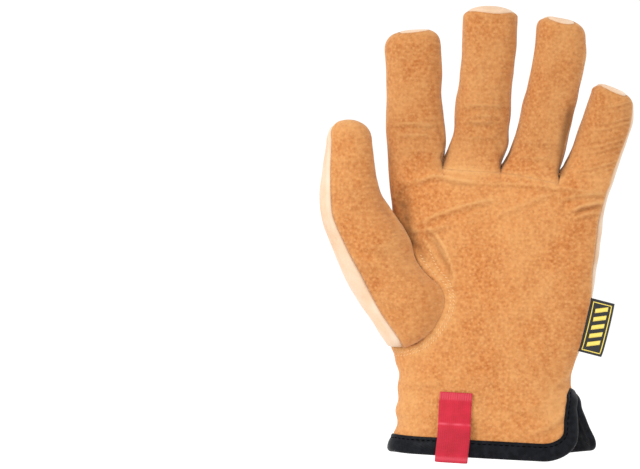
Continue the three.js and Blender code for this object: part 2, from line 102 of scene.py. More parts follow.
# Each finger's shaft: its left and right side and its half thickness by height
SHAFTS = [
    table("z left right thick", *rows) for rows in (
        [
            (135, -55.4, -26.2, 10.6), (155, -56.8, -25.4, 10.8), (165, -57.7, -23.4, 10.8),
            (174, -57.8, -24.4, 10.7), (183, -57.6, -26.0, 10.6), (191, -57.5, -27.0, 10.5),
            (209, -57.3, -26.5, 10.2), (222, -57.9, -27.4, 10.0),
        ],
        [
            (135, -27.0, 6.4, 10.6), (155, -26.4, 6.8, 11.0), (165, -23.6, 10.1, 11.0),
            (174, -20.5, 10.1, 10.9), (183, -19.9, 11.1, 10.8), (192, -18.6, 11.3, 10.6),
            (201, -17.3, 11.9, 10.5), (210, -16.6, 13.3, 10.4), (219, -15.7, 14.4, 10.3),
            (236, -15.3, 14.6, 10.0),
        ],
        [
            (132, 5.4, 39.0, 10.6), (152, 6.2, 39.8, 10.7), (165, 11.6, 43.7, 10.8),
            (174, 14.8, 45.1, 10.7), (183, 16.7, 46.6, 10.6), (192, 18.8, 48.3, 10.4),
            (201, 20.9, 49.7, 10.3), (210, 22.5, 51.3, 10.2), (219, 23.9, 52.7, 10.0),
            (229, 25.0, 52.6, 9.9),
        ],
        [
            (130, 36.8, 64.2, 10.2), (150, 38.2, 68.9, 10.5), (156, 41.0, 70.7, 10.6),
            (165, 45.4, 73.5, 10.4), (174, 49.1, 76.5, 10.0), (183, 52.7, 78.5, 9.7),
            (192, 56.2, 79.2, 9.5),
        ],
    )
]


def make_finger(place):
    """One finger's measures: its tip's, its shaft's and its gaps'. An outer finger uses its one gap twice."""
    finger = {name: column[place] for name, column in TIPS.items()}
    finger.update({name: column[min(place, 2)] for name, column in GAPS.items()})
    return dict(finger, crotch_left=GAPS["crotch_right"][max(place - 1, 0)], place=place, rows=SHAFTS[place])


FINGERS = [make_finger(place) for place in range(4)]

# The seam across the bases of the middle and ring fingers, and the line at which the back parts
BASE_SEAM = table(
    "x z", (-62, 153.4), (-27, 153.2), (-12, 151.8), (6, 151), (21, 148.4), (39, 144.7), (80, 144.5),
)
BASE_UNDER = dict(BASE_SEAM, z=BASE_SEAM["z"] - 0.7)  # the finger's leather goes under the palm's there
BACK_PARTING = table("x z", (-62, 152.8), (-26, 152.8), (6, 151.4), (38, 149.2), (80, 149))
# The seam behind, between the palm leather and the back leather on the thumb side
BACK_SEAM = table(
    "z x",
    (-16, -45), (20, -41), (44, -38.5), (70, -40), (110, -42), (150, -49), (180, -51.2), (222, -51.6),
)

# The thumb: its outer side, its inner side or seam, its two crests, and the depth of its two sides
THUMB_SHOULDER, THUMB_TIP_HIGH, THUMB_TIP_SQUARE = 166.8, 13.6, 2.15
THUMB = table(
    "z outer inner front back left_y right_y",
    (54.2, -55.6, -47.2, -11.4, -3.5, -7.5, -11.0),
    (56.4, -56.9, -41.8, -16.0, -1.6, -8.8, -12.8),
    (61.6, -60.4, -34.6, -20.0, 1.0, -10.0, -15.2),
    (69.4, -65.4, -28.8, -23.2, 3.0, -10.6, -15.8),
    (78.8, -72.1, -25.0, -25.0, 4.2, -11.0, -16.2),
    (84.4, -75.8, -25.5, -25.6, 4.6, -11.2, -16.0),
    (88.5, -78.4, -27.6, -25.9, 4.7, -11.3, -15.6),
    (93.2, -80.9, -33.2, -26.2, 4.8, -11.4, -14.8),
    (101.6, -84.5, -40.2, -26.4, 4.6, -11.6, -13.2),
    (113.8, -89.8, -44.4, -26.4, 4.0, -11.8, -10.8),
    (123.8, -92.9, -50.0, -26.2, 3.0, -12.0, -8.4),
    (131.5, -94.2, -55.4, -26.0, 2.0, -12.0, -7.4),
    (138.2, -94.4, -60.2, -25.6, 1.0, -12.2, -8.6),
    (147.0, -93.8, -63.1, -25.0, 0.0, -12.4, -11.4),
    (155.9, -92.8, -64.2, -24.4, -0.8, -12.6, -12.4),
    (167.4, -90.8, -65.4, -23.6, -1.6, -12.6, -12.6),
)
# The seams of the thumb's pale outer strip, in front and behind
THUMB_STRIP = table(
    "z front behind",
    (50, -47.4, -44.4), (55, -48.9, -45.4), (73, -60.5, -56), (97, -73.3, -68.4), (106, -78.2, -72.8),
    (115, -82.6, -76.4), (121, -85.4, -78.4), (127, -87.6, -80), (134, -88.4, -81.2), (142, -88.8, -82),
    (152, -88.9, -82.3), (168, -88.4, -82),
)
WEB_TOP = 131.5  # where the thumb leaves the hand
THUMB_HOLE = dict(low=57.0, high=118.0, side_low=62.0, side_x=-44.0, front_y=-6.0, back_y=2.0, inset=2.6)

# The hem's edge, from the thumb side to the slit, and the corner of the front flap
HEM_FRONT = table("x z", (-62, -0.6), (-56, -1.6), (-30, -3.4), (10, -5.7), (32, -6.9))
HEM_BACK = table("x z", (-62, -1.4), (-56, -2.2), (-30, -5), (5, -7), (35, -5.4), (62, -2))
CORNER = dict(x=28.0, z=7.0, wide=19.6, high=13.9)
SLIT_TOP = 27.0
HEM_INSET = 3.5  # the leather's edge lies this far inside the folded tape
TIP_ROWS = 12  # rows of a fingertip up to the leather's edge, and beyond it
ACROSS = {FRONT: 28, BACK: 26}  # steps across a finger's strip of the palm and of the back
THUMB_STEPS, THUMB_TIP_STEPS = 96, 16  # rows of the thumb up to its shoulder, and of its tip


def smooth(x):
    """Goes from 0 to 1 with level ends: 3x^2 - 2x^3, held outside."""
    x = np.clip(x, 0, 1)
    return x * x * (3 - 2 * x)


def ramp(place, start, over):
    """A smooth change from 0 at the start to 1 over a length, which is negative where the 1 lies below."""
    return smooth((place - start) / over)


def bell(offset, width):
    """A bell over an offset: exp(-(offset / width)^2)."""
    return np.exp(-((offset / width) ** 2))


def mix(a, b, share):
    """The value at a share of the way from a to b."""
    return a + (b - a) * share


def read(rows, name, at, by="z"):
    """A column at any place: cubic pieces whose slope at a row comes from its neighbours, held outside."""
    places, values = rows[by], rows[name]
    slopes = np.gradient(values, places)
    at = np.asarray(at, float)
    cell = np.clip(np.searchsorted(places, at) - 1, 0, len(places) - 2)
    width = places[cell + 1] - places[cell]
    t = np.clip((at - places[cell]) / width, 0, 1)
    rise = t * t * (3 - 2 * t)
    start = t * (1 - t) ** 2 * width * slopes[cell]
    end = t * t * (t - 1) * width * slopes[cell + 1]
    return mix(values[cell], values[cell + 1], rise) + start + end


def fullness(across, power=SQUARE):
    """Depth of a rounded section at a place across it: (1 - |place|^n)^(1/n)."""
    return (1 - np.clip(np.abs(across), 0, 1) ** power) ** (1 / power)


def signed_power(value, power):
    """A power of a number that keeps its sign."""
    return np.sign(value) * np.abs(value) ** power


def ring(centre, half, middle, depth, angle):
    """A rounded section by its angle: 0 at the thumb side, pi / 2 in front and pi at the slit's side."""
    x = centre - half * signed_power(np.cos(angle), 2 / SQUARE)
    y = middle - depth * signed_power(np.sin(angle), 2 / SQUARE)
    return x, y


def hand_section(z):
    """The centre, half width, middle depth and half depth of the hand at a height."""
    left, right, front, back = (read(HAND, name, z) for name in ("left", "right", "front", "back"))
    return (left + right) / 2, (right - left) / 2, (front + back) / 2, (back - front) / 2


def finger_section(finger, z):
    """The centre, half width and half depth of a finger at a height."""
    left, right, thick = (read(finger["rows"], name, z) for name in ("left", "right", "thick"))
    return (left + right) / 2, (right - left) / 2, thick


def rim_share(depth, side):
    """How far out, of the half width, a finger's front or back leather ends."""
    return fullness(EDGE[side] / depth)


def edge_angle(depth, side):
    """The angle at which a section passes the edge of its front or back leather."""
    return np.arcsin((EDGE[side] / depth) ** (SQUARE / 2))


def little_edge(z):
    """How far in front of the middle the palm leather ends on the little finger's side of the hand."""
    low = EDGE[FRONT] - 2.8 * bell(z - 41, 6.5)
    return mix(low, 6.2, ramp(z, 80, 16) * ramp(z, 138, -18))


def slit_angle(z):
    """The angle of the back flap's edge, straight from the slit's top to the hem."""
    return mix(3.34, 2.9, np.clip((z + 2.4) / (SLIT_TOP + 2.4), 0, 1))


def above_slit(z):
    """0 beside the slit of the cuff and 1 above it."""
    return ramp(z, SLIT_TOP - 4.5, 6)


def flap_angles(z):
    """The angles between which the little finger's side of the cuff and hand runs, behind the slit."""
    depth = hand_section(z)[3]
    edge = np.pi - np.arcsin((little_edge(z) / depth) ** (SQUARE / 2))
    start = mix(slit_angle(z) + 0.15, edge, above_slit(z))
    return start, np.maximum(np.pi + edge_angle(depth, BACK), start + 0.16)


def parting_lines(z, side):
    """The five lines that bound the four fingers' strips on the palm or on the back, as X."""
    centre, half, _, depth = hand_section(z)
    inner = [read(PARTINGS, name, z) for name in ("one", "two", "three")]
    if side == FRONT:
        left = centre - half * rim_share(depth, FRONT)
        slit = mix(44.0, 45.6, z / SLIT_TOP)
        right = mix(slit, centre + half * fullness(little_edge(z) / depth), above_slit(z))
    else:
        left = read(BACK_SEAM, "x", z)
        right = centre + half * np.abs(np.cos(flap_angles(z)[1])) ** (2 / SQUARE)
    return [left, *inner, right]


def finger_share(finger, spread, z):
    """0 where the section is the hand's and 1 where it is the finger's, by the nearest crotch's height."""
    crotch = mix(finger["crotch_left"], finger["crotch_right"], spread)
    return smooth((z - crotch + BLEND) / (2 * BLEND))


def lean_and_curl(x, y, z, finger):
    """A fingertip's slant, square to the finger's length, and the curl of all fingers towards the palm."""
    if finger is not None:
        centre = finger_section(finger, z)[0]
        z = z - finger["slant"] * (x - centre) * smooth((z - finger["tip"] + 45) / 45)
    curl = CURL_DEPTH * np.clip((z - CURL_START) / CURL_SPAN, 0, None) ** CURL_POWER
    return np.stack([x, y - curl, z], -1)


def finger_rims(finger, side, z, thick):
    """The places across a finger, from -1 to 1, at which its front or back leather ends.

    Near the crotch at its right, the front leather draws back and shows the sidewall.
    """
    low, high = -rim_share(thick, side), rim_share(thick, side)
    if side == BACK and finger["place"] == 0:
        centre, half, _ = finger_section(finger, z)
        low = (read(BACK_SEAM, "x", z) - centre) / half
    if side == FRONT and finger["place"] < 3:
        up = z - finger["crotch_right"]
        recess = finger["recess"] * bell(up - finger["recess_up"], finger["recess_over"]) * smooth(up / 3)
        high = fullness((EDGE[FRONT] + recess) / thick)
    return low, high


def strip(finger, side, share, z, shrink=1.0):
    """A finger's strip of the palm or back, from hem to tip.

    Across, the places follow (1 - cos) so that they are dense at the sides. The hand's section and the
    finger's are worked out apart and mixed by height. Above a crotch the finger's own sides part.
    """
    i = finger["place"]
    spread = (1 - np.cos(np.pi * share)) / 2 + 0 * z
    lines = parting_lines(z, side)
    centre, half, middle, depth = hand_section(z)
    hand_x = mix(lines[i], lines[i + 1], spread)
    hand_y = middle + side * depth * fullness((hand_x - centre) / half)
    centre, half, thick = finger_section(finger, z)
    low, high = finger_rims(finger, side, z, thick)
    left, right = centre + low * half, centre + high * half
    if i > 0:
        left = mix(lines[i], left, smooth((z - finger["crotch_left"]) / OPENING))
    if i < 3:
        right = mix(lines[i + 1], right, smooth((z - finger["crotch_right"]) / OPENING))
    middle_x = centre + finger["shift"] * half * (1 - shrink)
    finger_x = middle_x + (mix(left, right, spread) - centre) * shrink
    finger_y = side * thick * fullness(mix(low, high, spread)) * shrink
    turn = finger_share(finger, spread, z)
    return mix(hand_x, finger_x, turn), mix(hand_y, finger_y, turn)


def line_height(line, x):
    """Height of a line across the hand. A hem lies inside its tape and rises round the flap's corner."""
    height = read(line, "z", x, by="x")
    if line is HEM_FRONT:
        over = np.clip((x - CORNER["x"]) / CORNER["wide"], 0, 0.999)
        corner = CORNER["z"] - CORNER["high"] * np.sqrt(1 - over**2)
        height = np.where(x > CORNER["x"], corner, height)
    if line is HEM_FRONT or line is HEM_BACK:
        height = height + HEM_INSET
    return height


def level_line(z):
    """A line across the hand at one height."""
    return table("x z", (-80, z), (90, z))


def strip_heights(finger, side, low, high, steps):
    """Heights of a strip's rows between two lines across the hand, found by following each column's X."""
    share = np.linspace(0, 1, ACROSS[side] + 1)[None, :]
    rise = np.linspace(0, 1, steps + 1)[:, None]
    z = mix(low["z"].mean(), high["z"].mean(), rise) + 0 * share
    for _ in range(4):
        x, _ = strip(finger, side, share, z)
        z = mix(line_height(low, x), line_height(high, x), rise)
    return z


def strip_sheet(finger, side, z, shrink=1.0):
    """A strip's points at given rows of heights."""
    share = np.linspace(0, 1, z.shape[1])[None, :]
    x, y = strip(finger, side, share, z, shrink)
    return lean_and_curl(x, y, z, finger)


def tip_edge(finger, side, spread):
    """How far below its tip a finger's leather ends, by the place across. In front it dips for the grain."""
    edge = mix(finger["wrap_left"], finger["wrap_right"], spread)
    if side == BACK:
        return edge + mix(finger["dip_left"], finger["dip_right"], spread)
    ends = smooth(spread / 0.15) * smooth((1 - spread) / 0.15)
    return edge + finger["patch"] * bell(spread - finger["patch_at"], finger["patch_wide"]) * ends


def tip_rows(finger, start, end, below):
    """Heights and sizes of a fingertip's rings: a superellipse from full size up to a point.

    The start and end are shares of the leather's edge, which lies below the tip, and 2 is the tip itself.
    """
    edge = np.arcsin((1 - below / finger["high"]) ** (finger["square"] / 2))
    share = np.linspace(start, end, TIP_ROWS + 1)[:, None]
    turn = np.where(share <= 1, edge * share, mix(edge, np.pi / 2, share - 1))
    z = finger["tip"] - finger["high"] * (1 - np.sin(turn) ** (2 / finger["square"]))
    return z, np.clip(np.cos(turn), 0, 1) ** (2 / finger["square"])


def shoulder(finger):
    """The height at which a finger's shaft ends and its tip begins."""
    return finger["tip"] - finger["high"]


def even_spread(side):
    """Places from 0 to 1 across a strip, dense at its sides: (1 - cos) / 2."""
    return (1 - np.cos(np.pi * np.linspace(0, 1, ACROSS[side] + 1))) / 2


def tip_ring(finger, start, end, only_back=False):
    """The grain leather over a fingertip: the finger's outline, or its back part, in rows of sizes."""
    centre, half, thick = finger_section(finger, shoulder(finger))
    spread = even_spread(BACK)
    low, high = finger_rims(finger, BACK, shoulder(finger), thick)
    back = mix(low, high, spread)
    outline_x, outline_y, below = back, fullness(back), tip_edge(finger, BACK, spread)
    if not only_back:
        front = mix(*finger_rims(finger, FRONT, shoulder(finger), thick), spread)
        side = mix(-EDGE[FRONT], EDGE[BACK], np.linspace(0, 1, 8)[1:-1]) / thick
        far = np.linspace(-rim_share(thick, BACK), low, 6)[1:-1] if finger["place"] == 0 else np.zeros(0)
        backward = np.linspace(0, 1, 8)[1:-1]
        left = finger["wrap_left"] + finger["dip_left"] * backward[::-1]
        right = finger["wrap_right"] + finger["dip_right"] * backward
        out = fullness(side)
        outline_x = np.concatenate([front, out, back[::-1], far[::-1], -out[::-1], front[:1]])
        outline_y = [-fullness(front), side, fullness(back[::-1]), fullness(far[::-1]), side[::-1]]
        outline_y = np.concatenate([*outline_y, -fullness(front[:1])])
        in_front = tip_edge(finger, FRONT, spread)
        beyond = finger["wrap_left"] + 0 * far
        below = np.concatenate([in_front, right, below[::-1], beyond, left, in_front[:1]])
    z, shrink = tip_rows(finger, start, end, below)
    x = centre + half * (outline_x * shrink + finger["shift"] * (1 - shrink))
    return lean_and_curl(x, thick * outline_y * shrink, z, finger)


def side_sheet(finger, angles, z, across, shrink=1.0):
    """The outer side of the hand and of its outermost finger: both sections by angle, mixed by height."""
    across = np.linspace(0, 1, across + 1)[None, :]
    hand_start, hand_end, finger_start, finger_end = angles(z)
    x, y = ring(*hand_section(z), mix(hand_start, hand_end, across))
    centre, half, thick = finger_section(finger, z)
    own_x, own_y = ring(centre, half, 0, thick, mix(finger_start, finger_end, across))
    own_x = centre + (own_x - centre) * shrink + finger["shift"] * half * (1 - shrink)
    turn = finger_share(finger, 1, z)
    return lean_and_curl(mix(x, own_x, turn), mix(y, own_y * shrink, turn), z + 0 * x, finger)


def seam_angle(centre, half, z):
    """The angle of the seam behind, on a section of the hand or of the forefinger."""
    return -np.arccos(np.clip((centre - read(BACK_SEAM, "x", z)) / half, 0, 1) ** (SQUARE / 2))


def thumb_side_angles(z):
    """From the seam behind, round the thumb side, to the palm's edge, on the hand and on the forefinger."""
    centre, half, _, depth = hand_section(z)
    own_centre, own_half, thick = finger_section(FINGERS[0], z)
    hand_seam, own_seam = seam_angle(centre, half, z), seam_angle(own_centre, own_half, z)
    return hand_seam, edge_angle(depth, FRONT), own_seam, edge_angle(thick, FRONT)


def little_side_angles(z):
    """From the palm's edge or the slit, round the little finger's side, to the back."""
    start, end = flap_angles(z)
    thick = finger_section(FINGERS[3], z)[2]
    return start, end, np.pi - edge_angle(thick, FRONT), np.pi + edge_angle(thick, BACK)


def sidewall_sheet(first, second, steps, across):
    """The strip between two fingers: down one finger's side to the crotch and up the next one's.

    Each row runs straight from the front leather's edge to the back leather's and bulges like the section.
    """
    place = np.linspace(0, 1, across + 1)[None, :]
    crotch = first["crotch_right"]

    def leg(finger, share, outward):
        shaft = mix(crotch, shoulder(finger), np.linspace(0, 1, steps + 1)[:, None] ** 1.2)
        below = mix(tip_edge(finger, FRONT, share), tip_edge(finger, BACK, share), place)
        tip, tip_shrink = tip_rows(finger, 0, 1, below)
        z = np.concatenate([shaft + 0 * place, tip[1:]])
        shrink = np.concatenate([np.ones_like(shaft + place), tip_shrink[1:]])
        front_x, front_y = strip(finger, FRONT, share, z, shrink)
        back_x, back_y = strip(finger, BACK, share, z, shrink)
        _, half, thick = finger_section(finger, z)
        bulge = half * (1 - fullness((EDGE[FRONT] + EDGE[BACK]) / 2 / thick)) * shrink
        bulge = bulge * ramp(z, crotch, first["swell"]) * (1 - (2 * place - 1) ** 2)
        x = mix(front_x, back_x, place) + outward * bulge
        return lean_and_curl(x, mix(front_y, back_y, place), z + 0 * x, finger)

    return np.concatenate([leg(first, 1.0, 1)[::-1], leg(second, 0.0, -1)[1:]])


def thumb_depth(across, z, side):
    """Fullness of the thumb's section. Its inner half rises gently from the palm's seam below the web."""
    power = np.where(across > 0, mix(1.05, 0.45, ramp(z, 86, 40)), 0.45) if side == FRONT else 0.45
    return (1 - np.abs(across) ** 2.2) ** power


def thumb_width(z):
    """The thumb's centre and half width at a height, between its outer and its inner side."""
    outer, inner = read(THUMB, "outer", z), read(THUMB, "inner", z)
    return (outer + inner) / 2, (inner - outer) / 2


def thumb_point(across, z, side, shrink=1.0):
    """A place on the thumb: a straight line from its outer to its inner side, and the crest's depth on it."""
    centre, half = thumb_width(z)
    left_y, right_y = read(THUMB, "left_y", z), read(THUMB, "right_y", z)
    middle = (left_y + right_y) / 2
    crest = read(THUMB, "front" if side == FRONT else "back", z) - middle
    x = centre + half * across * shrink - 1.1 * (1 - shrink)
    base = mix(left_y, right_y, (across + 1) / 2)
    return x, mix(middle, base + crest * thumb_depth(across, z, side), shrink)


def thumb_rows():
    """Heights and sizes of the thumb's rows: dense at its lower end, then the tip's superellipse."""
    shaft = mix(THUMB["z"][0], THUMB_SHOULDER, np.linspace(0, 1, THUMB_STEPS + 1) ** 1.15)
    turn = np.linspace(0, np.pi / 2, THUMB_TIP_STEPS + 1)[1:]
    tip = THUMB_SHOULDER + THUMB_TIP_HIGH * np.sin(turn) ** (2 / THUMB_TIP_SQUARE)
    size = np.concatenate([np.ones_like(shaft), np.cos(turn) ** (2 / THUMB_TIP_SQUARE)])
    return np.concatenate([shaft, tip])[:, None], size[:, None]


def thumb_across(name, z):
    """A strip seam's place across the thumb, from -1 at the outer side to 1 at the inner one.

    On the tip it runs out to the outer side.
    """
    centre, half = thumb_width(np.minimum(z, THUMB_SHOULDER))
    on_tip = ramp(z, THUMB_SHOULDER, THUMB_TIP_HIGH / 1.2)
    return mix((read(THUMB_STRIP, name, z) - centre) / half, -1, on_tip)


def thumb_border(border, z):
    """The place across at which a piece of the thumb ends: a plain number, a strip seam by name, or "hand".

    The last one is where the back ends: at its inner side above the web, and at the hand's side below it.
    """
    if border != "hand":
        return thumb_across(border, z) if isinstance(border, str) else border + 0 * z
    centre, half = thumb_width(z)
    hand_centre, hand_half, _, _ = hand_section(z)
    inner = centre + half
    reach = np.where(z > WEB_TOP, inner, np.minimum(inner, hand_centre - hand_half + 2.5))
    return np.clip((reach - centre) / half, -0.9, 1)


def thumb_sheet(start, end, side, across):
    """Part of the thumb between two borders, dense where the section turns."""
    z, shrink = thumb_rows()
    low, high = (np.arccos(np.clip(thumb_border(border, z), -1, 1)) for border in (start, end))
    place = np.cos(mix(low, high, np.linspace(0, 1, across + 1)[None, :]))
    x, y = thumb_point(place, z, side, shrink)
    return lean_and_curl(x, y, z + 0 * x, None)


def thumb_seam(z):
    """The thumb's inner side as points in X and Z."""
    return np.stack([read(THUMB, "inner", z), z], 1)


def noise(points, size, seed):
    """Smooth unevenness from -1 to 1: a mean of waves in random directions, of about one length."""
    rng = np.random.default_rng(seed)
    waves = rng.normal(size=(14, 3))
    waves *= (rng.uniform(0.6, 1.5, (14, 1)) * 2 * np.pi / size) / np.linalg.norm(waves, axis=1)[:, None]
    phase = rng.uniform(0, 2 * np.pi, 14)
    return np.sin(points @ waves.T + phase).sum(1) / 5.3


def crease_distance(points, line):
    """For each point, its signed distance from a polyline in X and Z, and its place along it from 0 to 1."""
    line = np.array(line, float)
    flat = points[:, [0, 2]]
    ways = np.diff(line, axis=0)
    lengths = np.linalg.norm(ways, axis=1)
    before = np.concatenate([[0], np.cumsum(lengths)[:-1]])
    offset = flat[:, None, :] - line[None, :-1, :]
    t = np.clip((offset * ways).sum(2) / lengths**2, 0, 1)
    away = offset - t[:, :, None] * ways
    distance = np.linalg.norm(away, axis=2)
    nearest = distance.argmin(1)
    pick = np.arange(len(flat))
    above = np.sign(ways[nearest, 0] * away[pick, nearest, 1] - ways[nearest, 1] * away[pick, nearest, 0])
    along = (before[nearest] + t[pick, nearest] * lengths[nearest]) / lengths.sum()
    return distance[pick, nearest] * above, along


def folds(points, rows):
    """Relief and colour of folds: a ridge on one side of each line, a valley on the other, fading at its
    ends.

    Height is h * 1.65 * u * exp(-u^2), with u the distance in widths. Ridges are paler and valleys get
    painted shade.
    """
    height, scuffs_and_highlights, dark = np.zeros((3, len(points)))
    for line, high, width, tone in rows:
        distance, along = crease_distance(points, line)
        u = distance / width
        fade = np.clip(np.sin(np.pi * np.clip(along, 0.02, 0.98)) * 1.6, 0, 1)
        height += high * 1.65 * u * bell(u, 1) * fade
        # The pale band on each ridge is partly scuffing and partly painted highlight; the dark band in each
        # valley is painted shade.
        scuffs_and_highlights += 1.7 * tone * bell(u - 0.55, 0.5) * fade
        dark += 0.45 * tone * bell(u + 0.7, 0.8) * fade
    return height, scuffs_and_highlights, dark


# Lines of folds on the palm side as X and Z, with height, width and the strength of their pale ridges and
# painted shade
PALM_FOLDS = [
    (((-47, 144.5), (-38, 146), (-31.6, 148.6), (-24, 147.4), (-17.8, 145.6), (-4, 144.6)), 0.9, 1.5, 0.9),
    (((-10, 145), (6.7, 144.3), (22, 143.6), (37.7, 141.6), (52, 140), (66, 139.4)), 0.6, 1.3, 0.6),
    (((-42, 121), (-31, 126.4), (-18, 131), (-4, 134.6), (6, 136)), 0.5, 1.6, 0.8),
    (((2, 126), (14, 131), (28, 136.6), (40, 139)), 0.5, 1.8, 0.4),
    (((36, 135), (47, 137.4), (58, 138.6), (67, 138.4)), 0.7, 1.3, 0.7),
    (((43, 128.6), (50, 131.4), (58, 133.4), (66, 134)), 1.5, 1.7, 1.0),
    (((44, 124), (54, 127.6), (63, 128.6)), 0.7, 1.6, 0.5),
    (((-50, 119), (-43, 117.5), (-34, 118.4), (-22, 121)), 0.8, 1.7, 0.6),
    (((-40, 117), (-35, 110), (-30.5, 103), (-27.5, 98)), 0.5, 1.3, 0.8),
    (((-38, 122), (-31, 116), (-26.5, 109), (-22.6, 99), (-20.6, 88)), 0.6, 1.6, 1.1),
    (((-36, 117), (-30, 111.5), (-27, 106), (-25, 100)), 0.4, 1.1, 0.8),
    (((34, 32), (42, 36), (48, 43), (51, 50)), 0.6, 2.4, 0.3),
    (((20, 6), (30, 9), (38, 14), (43, 21)), 0.8, 2.6, 0.3),
    (((-50, 36), (-40, 33), (-24, 35)), 0.5, 2.6, 0.2),
    (((10, 22), (20, 19), (32, 22)), 0.5, 2.4, 0.2),
]
FINGER_FOLDS = [
    (((-55, 177.2), (-44, 177.6), (-34, 176.8), (-28, 177.4)), -0.7, 1.1, 0.8),
    (((-53, 171), (-44, 171.4), (-31, 170.6)), -0.5, 1.1, 0.5),
    (((-50, 163), (-40, 163.4), (-32, 162.6)), -0.4, 1.2, 0.3),
    (((-30, 186), (-28, 178), (-25.6, 168), (-25, 160)), 0.5, 1.2, 0.3),
    (((-18, 186.6), (-8, 187.4), (4, 187), (9, 188)), 0.7, 1.5, 0.5),
    (((-14, 178.4), (-4, 178), (3, 178.2)), 0.6, 0.9, 1.2),
    (((-12, 181.4), (-3, 181.8), (5, 181)), 0.4, 0.9, 0.6),
    (((-16, 172), (-10, 169), (0, 170), (6, 173)), 0.5, 1.6, 0.3),
    (((3, 170), (6, 162), (8, 157)), 0.6, 1.4, 0.4),
    (((15, 160), (24, 158), (33, 159)), 0.4, 1.3, 0.4),
    (((14, 168), (24, 166.6), (36, 167.4)), 0.3, 1.3, 0.2),
]
# Fine folds across the little finger, by their lower ends
FINGER_FOLDS += [
    (
        [(x + 1.35 * n, 148 + 3.2 * n + rise) for x, rise in ((43.5, 0), (54, 1.2), (65, 4.6), (72, 8))],
        0.22 + 0.16 * np.sin(2.3 * n), 0.9, 0.3 + 0.22 * np.sin(1.7 * n),
    )
    for n in range(13)
]
# Hollows on the fingers' right sides, pressed in and given painted shade, with strength and width
VALLEYS = [
    (((46.2, 192), (43.2, 181.5), (41.5, 172.2), (40.3, 165.2), (39.7, 155.9), (38.3, 151.2)), 1.1, 2.6),
    (((9.9, 165.2), (8.2, 160.5), (5.8, 153.5)), 0.9, 1.2),
    (((-25.1, 171), (-24.5, 162.8), (-26.3, 154.7)), 0.8, 1.5),
]
THUMB_FOLDS = [
    (((-62, 138), (-56, 130), (-52, 122), (-49, 115)), 0.5, 1.8, 0.3),
    (((-72, 112), (-62, 108), (-52, 110)), 0.5, 3.0, 0.3),
    (((-80, 104), (-70, 99), (-58, 98)), 0.5, 3.2, 0.3),
    (((-66, 84), (-56, 78), (-44, 76)), 0.5, 3.4, 0.2),
    (((-86, 158), (-78, 156), (-70, 158)), 0.3, 2.2, 0.2),
]
BACK_FOLDS = [
    (((13, 58), (9, 72), (-4, 92)), 1.5, 3.0, 0.5),
    (((34, 60), (28, 76), (10, 96)), 1.4, 3.6, 0.5),
    (((-30, 60), (-27, 76), (-16, 92)), 1.2, 3.2, 0.4),
    (((-9, 58), (-11, 68), (-10, 80)), 1.0, 2.4, 0.4),
    (((23, 58), (20, 67), (12, 78)), 0.9, 2.2, 0.4),
    (((-44, 128), (-36, 122), (-24, 124)), 0.7, 3.4, 0.3),
    (((-48, 140), (-40, 134), (-30, 136)), 0.6, 3.0, 0.3),
    (((-26, 150), (-24, 140), (-18, 132)), 0.6, 2.6, 0.2),
    (((6, 149), (7, 140), (4, 130)), 0.5, 2.6, 0.2),
    (((38, 147), (37, 138), (33, 130)), 0.5, 2.6, 0.2),
]
FINGER_BACK_FOLDS = [
    (((centre - 12, height), (centre, height + 0.8), (centre + 12, height)), 0.25, 1.1, 0.15)
    for centre, low, count in ((-42, 172, 7), (-6, 176, 7), (34, 176, 7), (62, 160, 5))
    for height in low + 3.4 * np.arange(count)
]
FOLDS = dict(palm=PALM_FOLDS + FINGER_FOLDS, finger=FINGER_FOLDS, thumb=THUMB_FOLDS)
FOLDS["back"] = BACK_FOLDS + FINGER_BACK_FOLDS
# Rubbed places of the palm as X and Z, with their reach across and up and their strength
RUBBED_PLACES = [(33, 20, 13, 14, 0.7), (-46, 14, 8, 16, 0.5)]
SEAM_HEIGHTS = np.linspace(112, 54.3, 40)
THUMB_EDGE_HEIGHTS = np.linspace(96, 131, 30)
# The hollow between the thumb and the forefinger, pressed in and given painted shade
HOLLOW = table(
    "z x wide",
    (98, -35, 1.8), (106, -38.6, 2.2), (114, -43, 2.6), (122, -46.2, 3.4), (132, -48.4, 4.0),
    (146, -49.4, 3.6),
)
GATHER_ROWS = (43.0, 54.0)  # heights of the two zigzag seams over the elastic
GATHER_PITCH, GATHER_SWING = 9.6, 2.6


def zigzag(x):
    """A triangle wave from -1 to 1 across the wrist."""
    return 2 * np.abs(2 * ((x / GATHER_PITCH) % 1) - 1) - 1


def gather(points):
    """Ruffles of the elastic wrist: rounded folds between sharp valleys, strongest at the two seams.

    The height along X is |sin|^0.7 of the pitch, and it fades as a bell above and below the seams.
    """
    x, z = points[:, 0], points[:, 2]
    drift = 1.6 * np.sin(z / 9.0 + x / 17.0)
    lobe = np.abs(np.sin(np.pi * (x + drift) / GATHER_PITCH)) ** 0.7
    middle = sum(GATHER_ROWS) / 2
    strength = bell(z - middle, np.where(z < middle, 13.0, 19.0)) * ramp(x, -40, 8) * ramp(x, 48, -6)
    height = 3.8 * (lobe - 0.62) * strength
    for row in GATHER_ROWS:
        height -= 1.1 * bell(z - row - GATHER_SWING * zigzag(x), 1.5) * strength
    # The lobes get a painted highlight and the valleys painted shade.
    return height, 0.6 * lobe * strength, 0.95 * (1 - lobe) * strength


